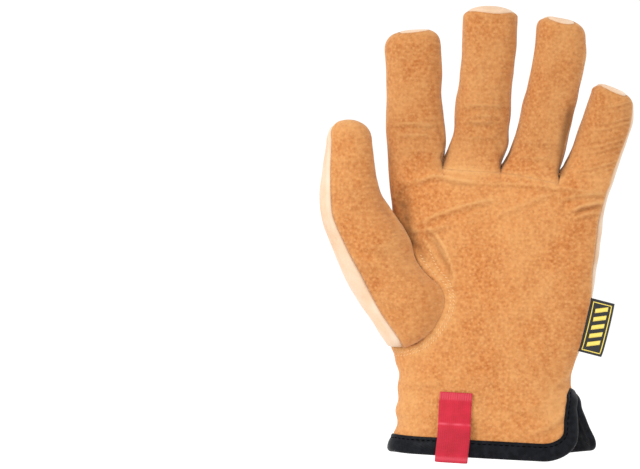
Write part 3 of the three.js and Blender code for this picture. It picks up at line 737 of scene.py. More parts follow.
def palm_relief(points, facing):
    """The hollow below the forefinger with its painted shade, the puckers along the thumb's seam and the
    palm's scuffed places.
    """
    x, z = points[:, 0], points[:, 2]
    hollow = bell(x - read(HOLLOW, "x", z), read(HOLLOW, "wide", z)) * facing
    hollow = hollow * ramp(z, 99, 9) * ramp(z, 149, -12)
    beyond, along = crease_distance(points, thumb_seam(SEAM_HEIGHTS))
    near = bell(np.abs(beyond) - 3.2, 2.6) * ramp(z, 110, -10) * ramp(z, 44, 8) * facing
    ripple = np.sin(along * 2 * np.pi * 15 + 1.5 * noise(points, 20, 17))
    scuffs_and_highlights = (1.0 + 0.5 * ripple) * near
    for at_x, at_z, wide, high, strong in RUBBED_PLACES:
        scuffs_and_highlights += strong * bell(x - at_x, wide) * bell(z - at_z, high)
    # The hollow is pressed in and given painted shade.
    return 0.28 * ripple * near - 1.2 * hollow, scuffs_and_highlights, (1.08 + 0.5 * noise(points, 7, 31)) * hollow


def relief(points, normals, kind):
    """Height, paler parts and darker parts of a leather piece, by the folds on its side of the glove."""
    x, z = points[:, 0], points[:, 2]
    pleats = np.cos(2 * np.pi * (z - 32.5) / 13.6) * ramp(x, -42, -6) * ramp(z, 3, 6) * ramp(z, 56, -10)
    uneven = 0.55 * noise(points, 42, 3) + 0.22 * noise(points, 13, 8) + 0.42 * pleats
    scuffs_and_highlights = 0.42 * noise(points, 26, 5) + 0.24 * noise(points, 9, 12)
    dark = 0 * z
    facing = smooth(normals[:, 1] * (2.5 if kind == "back" else -2.5))
    height, more_scuffs_and_highlights, more_dark = folds(points, FOLDS.get(kind, []))
    if kind == "back":
        dark += 0.15 * smooth(normals[:, 2] * 2 - 0.2) * ramp(z, 185, 8)
        more = gather(points)
        height, more_scuffs_and_highlights, more_dark = height + more[0], more_scuffs_and_highlights + more[1], more_dark + more[2]
    if kind == "palm":
        more = palm_relief(points, facing)
        height, scuffs_and_highlights, dark = height + more[0], scuffs_and_highlights + more[1], dark + more[2]
    if kind in ("palm", "finger"):
        # Painted shade over the fingers above their bases, and a painted highlight down the forefinger's
        # outer side where it turns from the front.
        dark += 0.27 * ramp(z, 146, 22)
        scuffs_and_highlights += 0.9 * ramp(x, -53.6, -2.5) * ramp(z, 135, 20) * (1 - facing)
        # Each valley is pressed in and given painted shade where it faces the front.
        for line, strong, wide in VALLEYS:
            beside, along = crease_distance(points, line)
            fade = strong * smooth(along / 0.25) * bell(beside, wide)
            height -= 0.5 * fade
            dark += fade * facing
    # The thumb's pale strip gets a painted highlight, paler than the back panel.
    if kind == "plain":
        scuffs_and_highlights += 0.35
    if kind == "thumb":
        # A painted highlight along the thumb's inner edge beside the hollow, paler towards its tip, and
        # slightly darker elsewhere.
        beyond, _ = crease_distance(points, thumb_seam(THUMB_EDGE_HEIGHTS))
        lit = bell(beyond, 1.5) * ramp(z, 97, 8) * ramp(z, 135, -8)
        scuffs_and_highlights += 1.1 * lit + 0.6 * ramp(z, 165, 12)
        dark += 0.1 - 0.6 * lit
    if kind == "wall":
        # Painted shade on the sidewalls, deepest at the crotch, and above it weaker on the sides that face
        # left.
        dark += 1.1 * np.exp(-np.clip(z - 150, 0, None) / 26)
        dark *= mix(1, 0.35 + 0.65 * smooth(normals[:, 0] + 0.5), ramp(z, 158, 10))
    return uneven + height * facing, scuffs_and_highlights + more_scuffs_and_highlights * facing, dark + more_dark * facing


def grid_faces(rows, columns, tube=False, loop=False):
    """Four-cornered faces of a grid of points. A tube's columns close, and a loop's rows do too."""
    across = np.arange(columns if tube else columns - 1)
    row = np.arange(rows if loop else rows - 1)[:, None]
    beside, first, after = (across + 1) % columns, row * columns, (row + 1) % rows * columns
    return np.stack([first + across, first + beside, after + beside, after + across], -1).reshape(-1, 4)


def join_sheets(sheets):
    """Points and faces of several grids, one after another. A sheet is its points and whether to flip it."""
    points, faces, first = [], [], 0
    for sheet, flip in sheets:
        rows, columns, _ = sheet.shape
        points.append(sheet.reshape(-1, 3))
        faces.append(first + grid_faces(rows, columns)[:, :: -1 if flip else 1])
        first += rows * columns
    return np.concatenate(points), np.concatenate(faces)


def paint(mesh, label, values):
    """Stores a value for each of a mesh's points, for the materials to read."""
    layer = mesh.attributes.new(label, "FLOAT", "POINT")
    layer.data.foreach_set("value", values.astype(np.float32).ravel())


def add_object(name, data):
    """An object in the scene."""
    made = bpy.data.objects.new(name, data)
    bpy.context.scene.collection.objects.link(made)
    return made


def read_mesh(mesh):
    """A mesh's points in millimetres and their normals."""
    points, normals = np.empty((2, len(mesh.vertices) * 3))
    mesh.vertices.foreach_get("co", points)
    mesh.vertex_normals.foreach_get("vector", normals)
    return points.reshape(-1, 3) / MM, normals.reshape(-1, 3)


def mesh_piece(name, points, faces, finish, slot, node, weld=0.02, values=None):
    """A smooth mesh from points in millimetres and faces, welded, riding on the glove's one body."""
    mesh = bpy.data.meshes.new(name)
    mesh.from_pydata((points * MM).tolist(), [], faces.tolist())
    for label, numbers in (values or {}).items():
        paint(mesh, label, numbers)
    shape = bmesh.new()
    shape.from_mesh(mesh)
    bmesh.ops.remove_doubles(shape, verts=shape.verts, dist=weld * MM)
    loose = [vertex for vertex in shape.verts if not vertex.link_faces]
    bmesh.ops.delete(shape, geom=loose, context="VERTS")
    shape.to_mesh(mesh)
    shape.free()
    mesh.polygons.foreach_set("use_smooth", np.ones(len(mesh.polygons), bool))
    mesh.materials.append(finish)
    mesh.update()
    piece = add_object(name, mesh)
    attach(piece, "root")
    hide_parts(node)
    return piece


def rim_distance(mesh, points):
    """How far each point is from the nearest open edge of its sheet."""
    edge_of_corner = np.empty(len(mesh.loops), int)
    mesh.loops.foreach_get("edge_index", edge_of_corner)
    ends = np.empty(len(mesh.edges) * 2, int)
    mesh.edges.foreach_get("vertices", ends)
    open_edges = np.bincount(edge_of_corner, minlength=len(mesh.edges)) == 1
    rim = points[np.unique(ends.reshape(-1, 2)[open_edges])]
    parts = np.array_split(points, 1 + len(points) // 3000)
    return np.sqrt(np.concatenate([((part[:, None] - rim) ** 2).sum(2).min(1) for part in parts]))


FINISHED = {}  # points and normals of the finished leather, by piece


def seam_strength(points, kind):
    """How deep a seam is and how much painted shade lies along it, by place: shallow on the fingers, faint
    across their bases in front.
    """
    x, y, z = points.T
    slit = ramp(x, 36, 4) * ramp(z, 36, -5)
    if kind == "back":
        return (1 - 0.6 * ramp(z, 180, 14)) * (1 - slit), 0 * z
    if kind == "thumb":
        return mix(0.3, 0.6, ramp(z, 76, 16)), 0 * z
    if kind == "plain":
        return 1 + 0 * z, 0 * z
    off = z - read(BASE_SEAM, "z", x, by="x")
    base = bell(off, np.where(off < 0, 2.5, 4)) * (kind != "wall")
    kept = 1 - base if kind == "palm" else 1 - 0.7 * base
    kept = kept * (1 - 0.45 * smooth(-y / 3) * ramp(z, 112, -8) * ramp(x, -18, -4))
    return (1 - 0.8 * ramp(z, 156, 8)) * kept * (1 - slit), base


def leather_piece(name, sheets, finish, slot, kind, cut=None):
    """A leather wall: its sheets welded, its seams rolled in, its folds raised, then given its thickness."""
    points, faces = join_sheets(sheets)
    if cut is not None:
        faces = faces[~cut(points)[faces].any(1)]
    piece = mesh_piece(name, points, faces, finish, slot, name)
    mesh = piece.data
    points, normals = read_mesh(mesh)
    distance = rim_distance(mesh, points)
    height, scuffs_and_highlights, dark = relief(points, normals, kind)
    strong, base = seam_strength(points, kind)
    roll = 0.25 * bell(distance - 2.6, 1.1) - SEAM_ROLL * bell(distance, SEAM_WIDTH)
    rise = height * smooth(distance / 3) + strong * roll
    mesh.vertices.foreach_set("co", ((points + normals * rise[:, None]) * MM).ravel())
    # A paler band lies just inside each sewn edge, with a pale line along the fingers' base seam in front,
    # and painted shade lies along the edge itself, as strong as the seam is deep.
    scuffs_and_highlights += 0.35 * bell(distance - 1.8, 1.2) + 0.9 * base * bell(distance, 1.6)
    dark += 0.5 * strong * bell(distance, 0.8)
    for label, values in (("scuffs_and_highlights", scuffs_and_highlights), ("dark", dark)):
        paint(mesh, label, np.clip(values, -1, 2))
    mesh.update()
    FINISHED[name] = read_mesh(mesh)
    wall = piece.modifiers.new("wall", "SOLIDIFY")
    wall.thickness = LEATHER * MM
    wall.offset = -1


# Materials


class Finish:
    """A material with a short way to add and join its nodes."""

    def __init__(self, name, roughness, **sockets):
        self.material = bpy.data.materials.new(name)
        self.material.use_nodes = True
        self.tree = self.material.node_tree
        self.shader = self.tree.nodes["Principled BSDF"]
        self.shader.inputs["Roughness"].default_value = roughness
        for label, value in sockets.items():
            self.put(self.shader.inputs[label.replace("_", " ")], value)

    def node(self, kind, inputs=None, **settings):
        """Adds a node. An input is a plain value or another node's output."""
        made = self.tree.nodes.new(kind)
        for name, value in settings.items():
            setattr(made, name, value)
        for name, value in (inputs or {}).items():
            self.put(made.inputs[name], value)
        return made

    def put(self, socket, value):
        """Sets a socket to a plain value, or joins it to an output."""
        if isinstance(value, bpy.types.NodeSocket):
            self.tree.links.new(value, socket)
        else:
            socket.default_value = value

    def place(self, scale=(1, 1, 1), turn=(0, 0, 0)):
        """Object coordinates, stretched and turned."""
        where = self.node("ShaderNodeTexCoord").outputs["Object"]
        inputs = {"Vector": where, "Scale": scale, "Rotation": turn}
        return self.node("ShaderNodeMapping", inputs).outputs["Vector"]

    def cloud(self, where, size, detail, roughness=0.55):
        """Cloudy noise whose patches are about size millimetres wide."""
        inputs = {"Vector": where, "Scale": 1 / (size * MM), "Detail": detail, "Roughness": roughness}
        return self.node("ShaderNodeTexNoise", inputs).outputs["Fac"]

    def cells(self, where, size, randomness=1.0, space="3D"):
        """Distance to the middle of the nearest cell, for cells of about size millimetres."""
        inputs = {"Vector": where, "Scale": 1 / (size * MM), "Randomness": randomness}
        return self.node("ShaderNodeTexVoronoi", inputs, voronoi_dimensions=space).outputs["Distance"]

    def waves(self, where, scale, direction):
        """Even bands along a direction."""
        inputs = {"Vector": where, "Scale": scale}
        return self.node("ShaderNodeTexWave", inputs, bands_direction=direction).outputs["Fac"]

    def spread(self, value, low, high, to_low=0.0, to_high=1.0):
        """A range of values stretched to another and held at its ends."""
        inputs = {"Value": value, "From Min": low, "From Max": high, "To Min": to_low, "To Max": to_high}
        return self.node("ShaderNodeMapRange", inputs).outputs["Result"]

    def math(self, operation, first, second):
        """Two values joined by an operation."""
        made = self.node("ShaderNodeMath", operation=operation)
        self.put(made.inputs[0], first)
        self.put(made.inputs[1], second)
        return made.outputs["Value"]

    def blend(self, share, first, second):
        """Two colours mixed by a share."""
        made = self.node("ShaderNodeMix", data_type="RGBA")
        self.put(made.inputs["Factor"], share)
        self.put(made.inputs[6], first)
        self.put(made.inputs[7], second)
        return made.outputs[2]

    def point_value(self, name):
        """A value painted on the piece's points."""
        return self.node("ShaderNodeAttribute", attribute_name=name).outputs["Fac"]

    def colour(self, ground, *coats):
        """Sets the base colour: a ground and the coats over it.

        A coat is a value, the range of it over which the coat's share changes, that share at both ends, and
        the coat's colour.
        """
        base = (*ground, 1)
        for value, low, high, at_low, at_high, coat in coats:
            base = self.blend(self.spread(value, low, high, at_low, at_high), base, (*coat, 1))
        self.put(self.shader.inputs["Base Color"], base)

    def bump(self, height, depth, strength=1.0):
        """Raises the surface by a height of at most depth millimetres."""
        inputs = {"Height": height, "Distance": depth * MM, "Strength": strength}
        self.put(self.shader.inputs["Normal"], self.node("ShaderNodeBump", inputs).outputs["Normal"])


def suede_finish():
    """Split leather: an orange-tan nap with a net of dark pores, paler between them, with scuffs, painted
    highlights and painted shade.
    """
    suede = Finish("suede_split", 0.95, Sheen_Weight=0.35, Sheen_Roughness=0.45, Specular_IOR_Level=0.15)
    suede.put(suede.shader.inputs["Sheen Tint"], (1, 0.82, 0.62, 1))
    where = suede.place()
    clouds = suede.cloud(where, 24, 3, 0.6)
    fuzz = suede.cloud(where, 1.7, 5, 0.7)
    blots = suede.cloud(where, 4.5, 3, 0.6)
    distance = suede.cells(suede.place(turn=(-np.pi / 2, 0.5, 0)), 2.3, 0.85, "2D")
    specks = suede.cells(suede.place(turn=(-np.pi / 2, 0.4, 0.7)), 2.8, 0.95, "2D")
    pores = suede.spread(distance, 0.1, 0.45, 1, 0)
    pores = suede.math("MULTIPLY", pores, suede.spread(fuzz, 0.66, 0.36, 0.3, 1))
    suede.colour(
        (0.425, 0.134, 0.031),
        (clouds, 0.3, 0.7, 0, 1, (0.505, 0.178, 0.045)),
        (blots, 0.42, 0.68, 0, 0.52, (0.60, 0.245, 0.074)),
        (fuzz, 0.42, 0.66, 0, 0.6, (0.66, 0.285, 0.090)),
        (distance, 0.42, 0.75, 0, 0.28, (0.67, 0.30, 0.105)),
        (pores, 0, 1, 0, 0.36, (0.36, 0.10, 0.020)),
        (specks, 0.08, 0.34, 0.4, 0, (0.70, 0.35, 0.135)),
        # Paler where scuffed and where a highlight is painted on; darker where shade is painted on.
        (suede.point_value("scuffs_and_highlights"), -0.5, 1.5, 0, 0.9, (0.68, 0.35, 0.13)),
        (suede.point_value("dark"), 0, 1.3, 0, 0.75, (0.15, 0.058, 0.017)),
    )
    suede.bump(suede.math("SUBTRACT", fuzz, suede.math("MULTIPLY", pores, 0.5)), 0.45, 0.8)
    return suede.material


def grain_finish():
    """Smooth grain leather: pale beige, soft clouds, a fine pebbled grain, scuffs, painted highlights,
    painted shade in the folds.
    """
    grain = Finish("grain_leather", 0.5, Specular_IOR_Level=0.42)
    where = grain.place()
    fine = grain.cloud(where, 2.2, 5, 0.6)
    grain.colour(
        (0.62, 0.405, 0.25),
        (grain.cloud(where, 30, 3), 0.34, 0.66, 0, 1, (0.70, 0.48, 0.315)),
        (fine, 0.4, 0.62, 0, 0.35, (0.74, 0.53, 0.36)),
        # Paler where scuffed and where a highlight is painted on; darker where shade is painted on.
        (grain.point_value("scuffs_and_highlights"), 0, 1, 0, 0.6, (0.78, 0.66, 0.535)),
        (grain.point_value("dark"), 0, 1.2, 0, 0.6, (0.44, 0.22, 0.095)),
    )
    long_lines = grain.cloud(grain.place((0.35, 1, 1)), 1.6, 4)
    grain.bump(grain.math("ADD", grain.math("MULTIPLY", grain.cells(where, 0.9), 0.4), long_lines), 0.22, 0.6)
    grain.put(grain.shader.inputs["Roughness"], grain.spread(fine, 0.3, 0.7, 0.43, 0.58))
    return grain.material


def tape_finish():
    """Folded near-black tape: a fine diagonal weave with a dull gloss."""
    tape = Finish("hem_tape", 0.45, Specular_IOR_Level=0.09)
    where = tape.place()
    weave = tape.waves(where, 420, "DIAGONAL")
    tone = tape.cloud(where, 3.0, 4)
    tape.colour((0.003, 0.0035, 0.005), (tone, 0.4, 0.7, 0, 1, (0.009, 0.010, 0.014)))
    tape.bump(tape.math("ADD", tape.math("MULTIPLY", weave, 0.4), tone), 0.16, 0.7)
    return tape.material


def badge_finish(name, dark, light):
    """Moulded rubber with a fine matt surface."""
    rubber = Finish(name, 0.5, Specular_IOR_Level=0.4)
    fine = rubber.cloud(rubber.place(), 1.2, 4)
    rubber.colour(dark, (fine, 0, 1, 0, 1, light))
    rubber.bump(fine, 0.08, 0.5)
    return rubber.material


def webbing_finish():
    """Woven red webbing: two crossing ribs by the places across and along it, in millimetres."""
    web = Finish("red_webbing", 0.6, Sheen_Weight=0.1, Sheen_Roughness=0.4, Specular_IOR_Level=0.25)
    ribs = []
    for name, pitch in (("across", 1.1), ("along", 0.8)):
        turn = web.math("MULTIPLY", web.point_value(name), 2 * np.pi / pitch)
        ribs.append(web.spread(web.math("SINE", turn, 0.0), -1, 1))
    weave = web.math("MULTIPLY", *ribs)
    # Above 0 the value is the loop's painted shade; below 0 its painted highlight, the pale line at its
    # crease and its paler sewn ribs.
    dark = web.point_value("dark")
    web.colour(
        (0.42, 0.007, 0.022),
        (web.cloud(web.place(), 5, 3), 0.3, 0.7, 0, 1, (0.52, 0.011, 0.034)),
        (weave, 0, 1, 0, 0.25, (0.66, 0.05, 0.085)),
        (dark, 0, -1, 0, 0.8, (0.80, 0.13, 0.18)),
        (dark, 0, 1, 0, 0.7, (0.24, 0.004, 0.015)),
    )
    web.bump(weave, 0.16, 0.6)
    return web.material


def thread_finish(name, low, high, sheen=0.2):
    """Sewing thread: a plain colour with slight change along it."""
    thread = Finish(name, 0.7, Sheen_Weight=sheen, Specular_IOR_Level=sheen)
    thread.colour(low, (thread.cloud(thread.place(), 0.8, 2), 0, 1, 0, 1, high))
    return thread.material


def label_finish():
    """Black woven label cloth with a fine rib."""
    cloth = Finish("label_cloth", 0.75, Sheen_Weight=0.2)
    rib = cloth.waves(cloth.place(), 500, "Z")
    cloth.colour((0.006, 0.006, 0.008), (rib, 0, 1, 0, 1, (0.022, 0.021, 0.022)))
    cloth.bump(rib, 0.08, 0.5)
    return cloth.material


SUEDE = suede_finish()
GRAIN = grain_finish()
TAPE = tape_finish()
RUBBER = badge_finish("badge_rubber", (0.008, 0.012, 0.028), (0.016, 0.022, 0.045))
YELLOW = badge_finish("badge_yellow", (0.78, 0.60, 0.09), (0.86, 0.70, 0.16))
RED = badge_finish("badge_red", (0.66, 0.02, 0.035), (0.74, 0.035, 0.05))
WEBBING = webbing_finish()
PALE_THREAD = thread_finish("pale_thread", (0.70, 0.39, 0.16), (0.84, 0.55, 0.28))
TAN_THREAD = thread_finish("tan_thread", (0.50, 0.29, 0.13), (0.60, 0.37, 0.18))
DARK_THREAD = thread_finish("dark_thread", (0.0, 0.0, 0.0), (0.001, 0.001, 0.001), 0.0)
LABEL = label_finish()

# Leather pieces


def thumb_hole(points):
    """The palm leather inside the thumb's seam, and the hand's side behind it."""
    x, y, z = points.T
    hole = THUMB_HOLE
    inside = (z > hole["low"]) & (z < hole["high"])
    front = (y < hole["front_y"]) & (x < read(THUMB, "inner", z) - hole["inset"])
    side = (y >= hole["front_y"]) & (y < hole["back_y"]) & (z > hole["side_low"]) & (x < hole["side_x"])
    return inside & (front | side)


def finger_part(finger, low, steps):
    """A front strip from a line across the hand up to its tip's edge, as heights and sizes of its rows."""
    z = strip_heights(finger, FRONT, low, level_line(shoulder(finger)), steps)
    return [(z, np.ones_like(z)), tip_rows(finger, 0, 1, tip_edge(finger, FRONT, even_spread(FRONT)))]


def make_leather():
    """All leather walls, each from the strips of the palm, the back, the sides and the thumb."""
    index, middle, ringed, little = FINGERS
    palm, sides = [], []
    for finger in FINGERS:
        z = strip_heights(finger, FRONT, HEM_FRONT, BASE_SEAM, 140)
        palm.append((strip_sheet(finger, FRONT, z), False))
        if finger is index:
            sides.append((z, np.ones_like(z)))
    for finger in (index, little):
        for z, shrink in finger_part(finger, BASE_SEAM, 60):
            palm.append((strip_sheet(finger, FRONT, z, shrink), False))
            if finger is index:
                sides.append((z, shrink))
    for z, shrink in sides:
        palm.append((side_sheet(index, thumb_side_angles, z[:, :1], 26, shrink[:, :1]), False))
    leather_piece("palm_panel", palm, SUEDE, "suede", "palm", thumb_hole)
    for name, finger in (("middle_front", middle), ("ring_front", ringed)):
        sheets = [(strip_sheet(finger, FRONT, *part), False) for part in finger_part(finger, BASE_UNDER, 76)]
        leather_piece(name, sheets, SUEDE, "suede", "finger")
    back = []
    for finger in FINGERS:
        low = strip_heights(finger, BACK, HEM_BACK, BACK_PARTING, 150)
        high = strip_heights(finger, BACK, BACK_PARTING, level_line(shoulder(finger)), 56)
        back += [(strip_sheet(finger, BACK, z), True) for z in (low, high)]
        back += [(tip_ring(finger, 0, 1, only_back=True), True), (tip_ring(finger, 1, 2), False)]
        if finger is little:
            tip, shrink = tip_rows(finger, 0, 1, finger["wrap_right"])
            for z, size in ((low, 1.0), (high, 1.0), (tip, shrink)):
                back.append((side_sheet(little, little_side_angles, z[:, -1:], 12, size), False))
    leather_piece("back_panel", back, GRAIN, "grain_leather", "back")
    for name, first, second in (
        ("fourchette_index_middle", index, middle),
        ("fourchette_middle_ring", middle, ringed),
        ("fourchette_ring_little", ringed, little),
    ):
        leather_piece(name, [(sidewall_sheet(first, second, 60, 10), True)], SUEDE, "suede", "wall")
    sheets = [thumb_sheet("front", 1, FRONT, 40), thumb_sheet("hand", "behind", BACK, 22)]
    leather_piece("thumb_front", [(sheet, False) for sheet in sheets], SUEDE, "suede", "thumb")
    sheets = [thumb_sheet(-1, "front", FRONT, 12), thumb_sheet("behind", -1, BACK, 12)]
    leather_piece("thumb_back", [(sheet, False) for sheet in sheets], GRAIN, "grain_leather", "plain")


make_leather()

# Tape, badge, loop, label and stitches


def unit(ways):
    """Directions of length 1."""
    return ways / np.linalg.norm(ways, axis=-1, keepdims=True)


def sweep(rings, loop=False):
    """Points and faces of rings in a row. Without a loop, each end closes to a point at its middle."""
    if not loop:
        first, last = (rings[[end]].mean(1, keepdims=True) + 0 * rings[[end]] for end in (0, -1))
        rings = np.concatenate([first, rings, last])
    return rings.reshape(-1, 3), grid_faces(*rings.shape[:2], tube=True, loop=loop)


def outward(points, faces):
    """Turns a closed shape's faces outward: its volume, by tetrahedra from the origin, must be positive."""
    a, b, c, d = (points[faces[:, i]] for i in range(4))
    volume = (np.cross(b - a, c - a) * a).sum() + (np.cross(c - a, d - a) * a).sum()
    return faces if volume > 0 else faces[:, ::-1]


def merge(shapes):
    """Several shapes as one: their points in a row, and their faces renumbered."""
    first = np.cumsum([0] + [len(points) for points, _ in shapes])
    faces = [outward(points, faces) + start for (points, faces), start in zip(shapes, first)]
    return np.concatenate([points for points, _ in shapes]), np.concatenate(faces)


def even_path(path, step=None, count=None):
    """A polyline with points at even distances: a given number of them, or one for about each step."""
    lengths = np.concatenate([[0], np.cumsum(np.linalg.norm(np.diff(path[:, :3], axis=0), axis=1))])
    places = np.linspace(0, lengths[-1], count or max(2, int(round(lengths[-1] / step)) + 1))
    return np.stack([np.interp(places, lengths, column) for column in path.T], 1)


def hand_point(angle, z):
    """A place on the smooth hand, without its unevenness."""
    x, y = ring(*hand_section(z), angle)
    return np.stack([x, y, z + 0 * x], -1)


def soften(values, reach):
    """A running mean over a few neighbours, with both ends kept."""
    padded = np.pad(values, ((reach, reach), (0, 0)), mode="edge")
    kernel = np.ones(2 * reach + 1) / (2 * reach + 1)
    out = np.stack([np.convolve(column, kernel, "valid") for column in padded.T], 1)
    fade = smooth(np.minimum(np.arange(len(values)), np.arange(len(values))[::-1]) / (2 * reach))[:, None]
    return mix(values, out, fade)


def hand_angle(x, z):
    """The angle, from 0 to half a turn, of a place in front. Its negative is the place behind."""
    centre, half, _, _ = hand_section(z)
    share = np.clip((centre - x) / half, -1, 1)
    return np.arccos(signed_power(share, SQUARE / 2))


def hand_skin(angle, z, out):
    """Points and outward directions on the hand's surface, lifted by its unevenness and by out."""
    point, normal = hand_point(angle, z), unit(np.cross(*hand_slopes(angle, z)))
    flat, ways = point.reshape(-1, 3), normal.reshape(-1, 3)
    in_front = np.sin(angle).reshape(-1) > 0
    height = np.where(in_front, relief(flat, ways, "palm")[0], relief(flat, ways, "back")[0])
    out = np.broadcast_to(out, angle.shape).reshape(-1)
    return (flat + ways * (height + out)[:, None]).reshape(point.shape), normal


def on_hand(x, z, side, out):
    """A place on the palm or the back by X and Z, lifted by its unevenness and by out."""
    angle = hand_angle(x, z)
    return hand_skin(angle if side == FRONT else -angle, z, out)


def tape_fold():
    """The tape's fold as angles and heights: down the front flap, round the hem and up the back flap."""
    down = np.linspace(SLIT_TOP + 0.2, CORNER["z"], 20)[:-1]
    turn = np.linspace(0, np.pi / 2, 20)
    to_thumb = np.linspace(CORNER["x"], -54, 60)[1:]
    to_slit = np.linspace(-54, 55.6, 70)
    up = np.linspace(-2.2, SLIT_TOP - 0.4, 24)
    edge_x = CORNER["x"] + CORNER["wide"] + 0 * down
    corner_x = CORNER["x"] + CORNER["wide"] * np.cos(turn)
    front_x = np.concatenate([edge_x, corner_x, to_thumb])
    corner_z = CORNER["z"] - CORNER["high"] * np.sin(turn)
    front_z = np.concatenate([down, corner_z, read(HEM_FRONT, "z", to_thumb, by="x")])
    back_z = read(HEM_BACK, "z", to_slit, by="x")
    back_angle = -hand_angle(to_slit, back_z)
    angle = np.concatenate([hand_angle(front_x, front_z), back_angle, slit_angle(up) - 2 * np.pi])
    z = np.concatenate([front_z, back_z, up])
    x, y = ring(*hand_section(z), angle)
    path = even_path(np.stack([x, y, z, angle], 1), 1.0)
    return soften(path[:, [3, 2]], 3)


TAPE_STEP = 0.8
TAPE_VALLEY = 5  # the point of the section at which the stitches lie
# The folded tape's section: how far in from the fold, and how far out of the leather
TAPE_SECTION = table(
    "inward out",
    (8.6, 0.15), (8.65, 0.6), (8.35, 0.95), (7.6, 1.1), (7.0, 1.0), (6.6, 0.75), (6.2, 1.02), (5.4, 1.3),
    (3.8, 1.5), (2.0, 1.45), (0.4, 1.2), (-0.6, 0.6), (-1.1, -0.3), (-1.1, -1.2), (-0.7, -2.1), (0.3, -2.7),
    (2.5, -2.9), (7.0, -2.8), (13.3, -2.6), (13.8, -2.3), (13.8, -1.8), (13.3, -1.55), (3.4, -1.55),
    (3.0, -0.7), (3.4, 0.1),
)


def make_tape():
    """The folded tape: its fold's line moves over the leather in even steps and carries the section."""
    rows = [tape_fold()]
    for _ in range(19):
        angle, z = rows[-1].T
        point, normal = flat_hand(angle, z)
        way = np.cross(unit(np.gradient(point, axis=0)), normal)
        by_angle, by_height = hand_slopes(angle, z)
        aa, ab, bb = (by_angle**2).sum(1), (by_angle * by_height).sum(1), (by_height**2).sum(1)
        wa, wb = (way * by_angle).sum(1), (way * by_height).sum(1)
        step = np.stack([wa * bb - wb * ab, wb * aa - wa * ab], 1) / (aa * bb - ab * ab)[:, None] * TAPE_STEP
        rows.append(soften(rows[-1] + step, 1))
    points, normals = hand_skin(*np.moveaxis(np.array(rows), -1, 0), 0.0)
    inward = TAPE_SECTION["inward"]
    place = np.clip(inward, 0, None) / TAPE_STEP
    low = np.minimum(place.astype(int), len(rows) - 2)
    share = (place - low)[:, None, None]
    base = mix(points[low], points[low + 1], share)
    ways = unit(mix(normals[low], normals[low + 1], share))
    outer = unit(points[0] - points[1])
    past_fold, out = np.clip(-inward, 0, None)[:, None, None], TAPE_SECTION["out"][:, None, None]
    section = base + past_fold * outer + ways * out
    place = np.arange(section.shape[1])
    ends = ramp(np.minimum(place, place[::-1]), 8, -8)
    section[..., 2] -= 2.2 * ends * (np.clip(inward, 0, 8.6)[:, None] / 8.6) ** 4
    mesh_piece("hem_binding", *merge([sweep(section.transpose(1, 0, 2))]), TAPE, "hem_tape", "hem_binding")
    valley, normals = section[TAPE_VALLEY], ways[TAPE_VALLEY]
    row = even_path(valley[3:-3], 3.1)
    normal = normals[nearest(row, valley)]
    sewn = (row + normal * 0.1, unit(np.gradient(row, axis=0)), normal)
    stitches("tape_stitches", [sewn], DARK_THREAD, "hem_tape", "hem_binding", 2.2, 0.26)


def flat_hand(angle, z):
    """A place on the smooth hand and the outward direction there."""
    point = hand_point(angle, z)
    return point, unit(np.cross(hand_point(angle + SMALL, z) - point, hand_point(angle, z + SMALL) - point))


def hand_slopes(angle, z):
    """How a place on the smooth hand changes with its angle and with its height."""
    by_angle = (hand_point(angle + SMALL, z) - hand_point(angle - SMALL, z)) / (2 * SMALL)
    by_height = (hand_point(angle, z + SMALL) - hand_point(angle, z - SMALL)) / (2 * SMALL)
    return by_angle, by_height


def stitches(name, rows, finish, slot, node, long, thick):
    """Sewn stitches as one mesh, each a small capsule along its row. A row is centres, ways and normals."""
    turn = np.linspace(0, 2 * np.pi, 7)[:-1, None]
    along = np.array([-0.5, -0.44, -0.3, 0.0, 0.3, 0.44, 0.5])[:, None] * long
    size = np.array([0.0, 0.55, 0.9, 1.0, 0.9, 0.55, 0.0])[:, None, None] * thick
    sink = -np.array([0.9, 0.5, 0.1, 0.0, 0.1, 0.5, 0.9])[:, None] * thick
    centres, ways, normals = (np.concatenate(part)[:, None] for part in zip(*rows))
    rim = np.cos(turn) * np.cross(ways, normals) + np.sin(turn) * normals
    middle = centres + along * ways + sink * normals
    points = middle[:, :, None] + size * rim[:, None]
    count, rings, corners, _ = points.shape
    faces = np.arange(count)[:, None, None] * rings * corners + grid_faces(rings, corners, tube=True)
    faces = faces.reshape(-1, 4)[:, ::-1]
    mesh_piece(name, points.reshape(-1, 3), faces, finish, slot, node, weld=0.003)


def nearest(points, others):
    """For each point, the number of the nearest of some others."""
    parts = np.array_split(points, 8)
    return np.concatenate([((part[:, None] - others) ** 2).sum(2).argmin(1) for part in parts])


def stitch_row(path, name, pitch, lift=0.15):
    """Centres, ways and normals of stitches along a polyline, laid on the named piece's nearest leather."""
    points, normals = FINISHED[name]
    centres = even_path(path, pitch)
    near = nearest(centres, points)
    normals = unit(normals[near])
    centres = centres + normals * (((points[near] - centres) * normals).sum(1) + lift)[:, None]
    along = np.gradient(centres, axis=0)
    along = unit(along - normals * (along * normals).sum(1)[:, None])
    return centres, along, normals


BADGE = dict(centre=5.0, high=30.0, low_half=29.0, high_half=22.5, corner=6.5, rim=3.0)


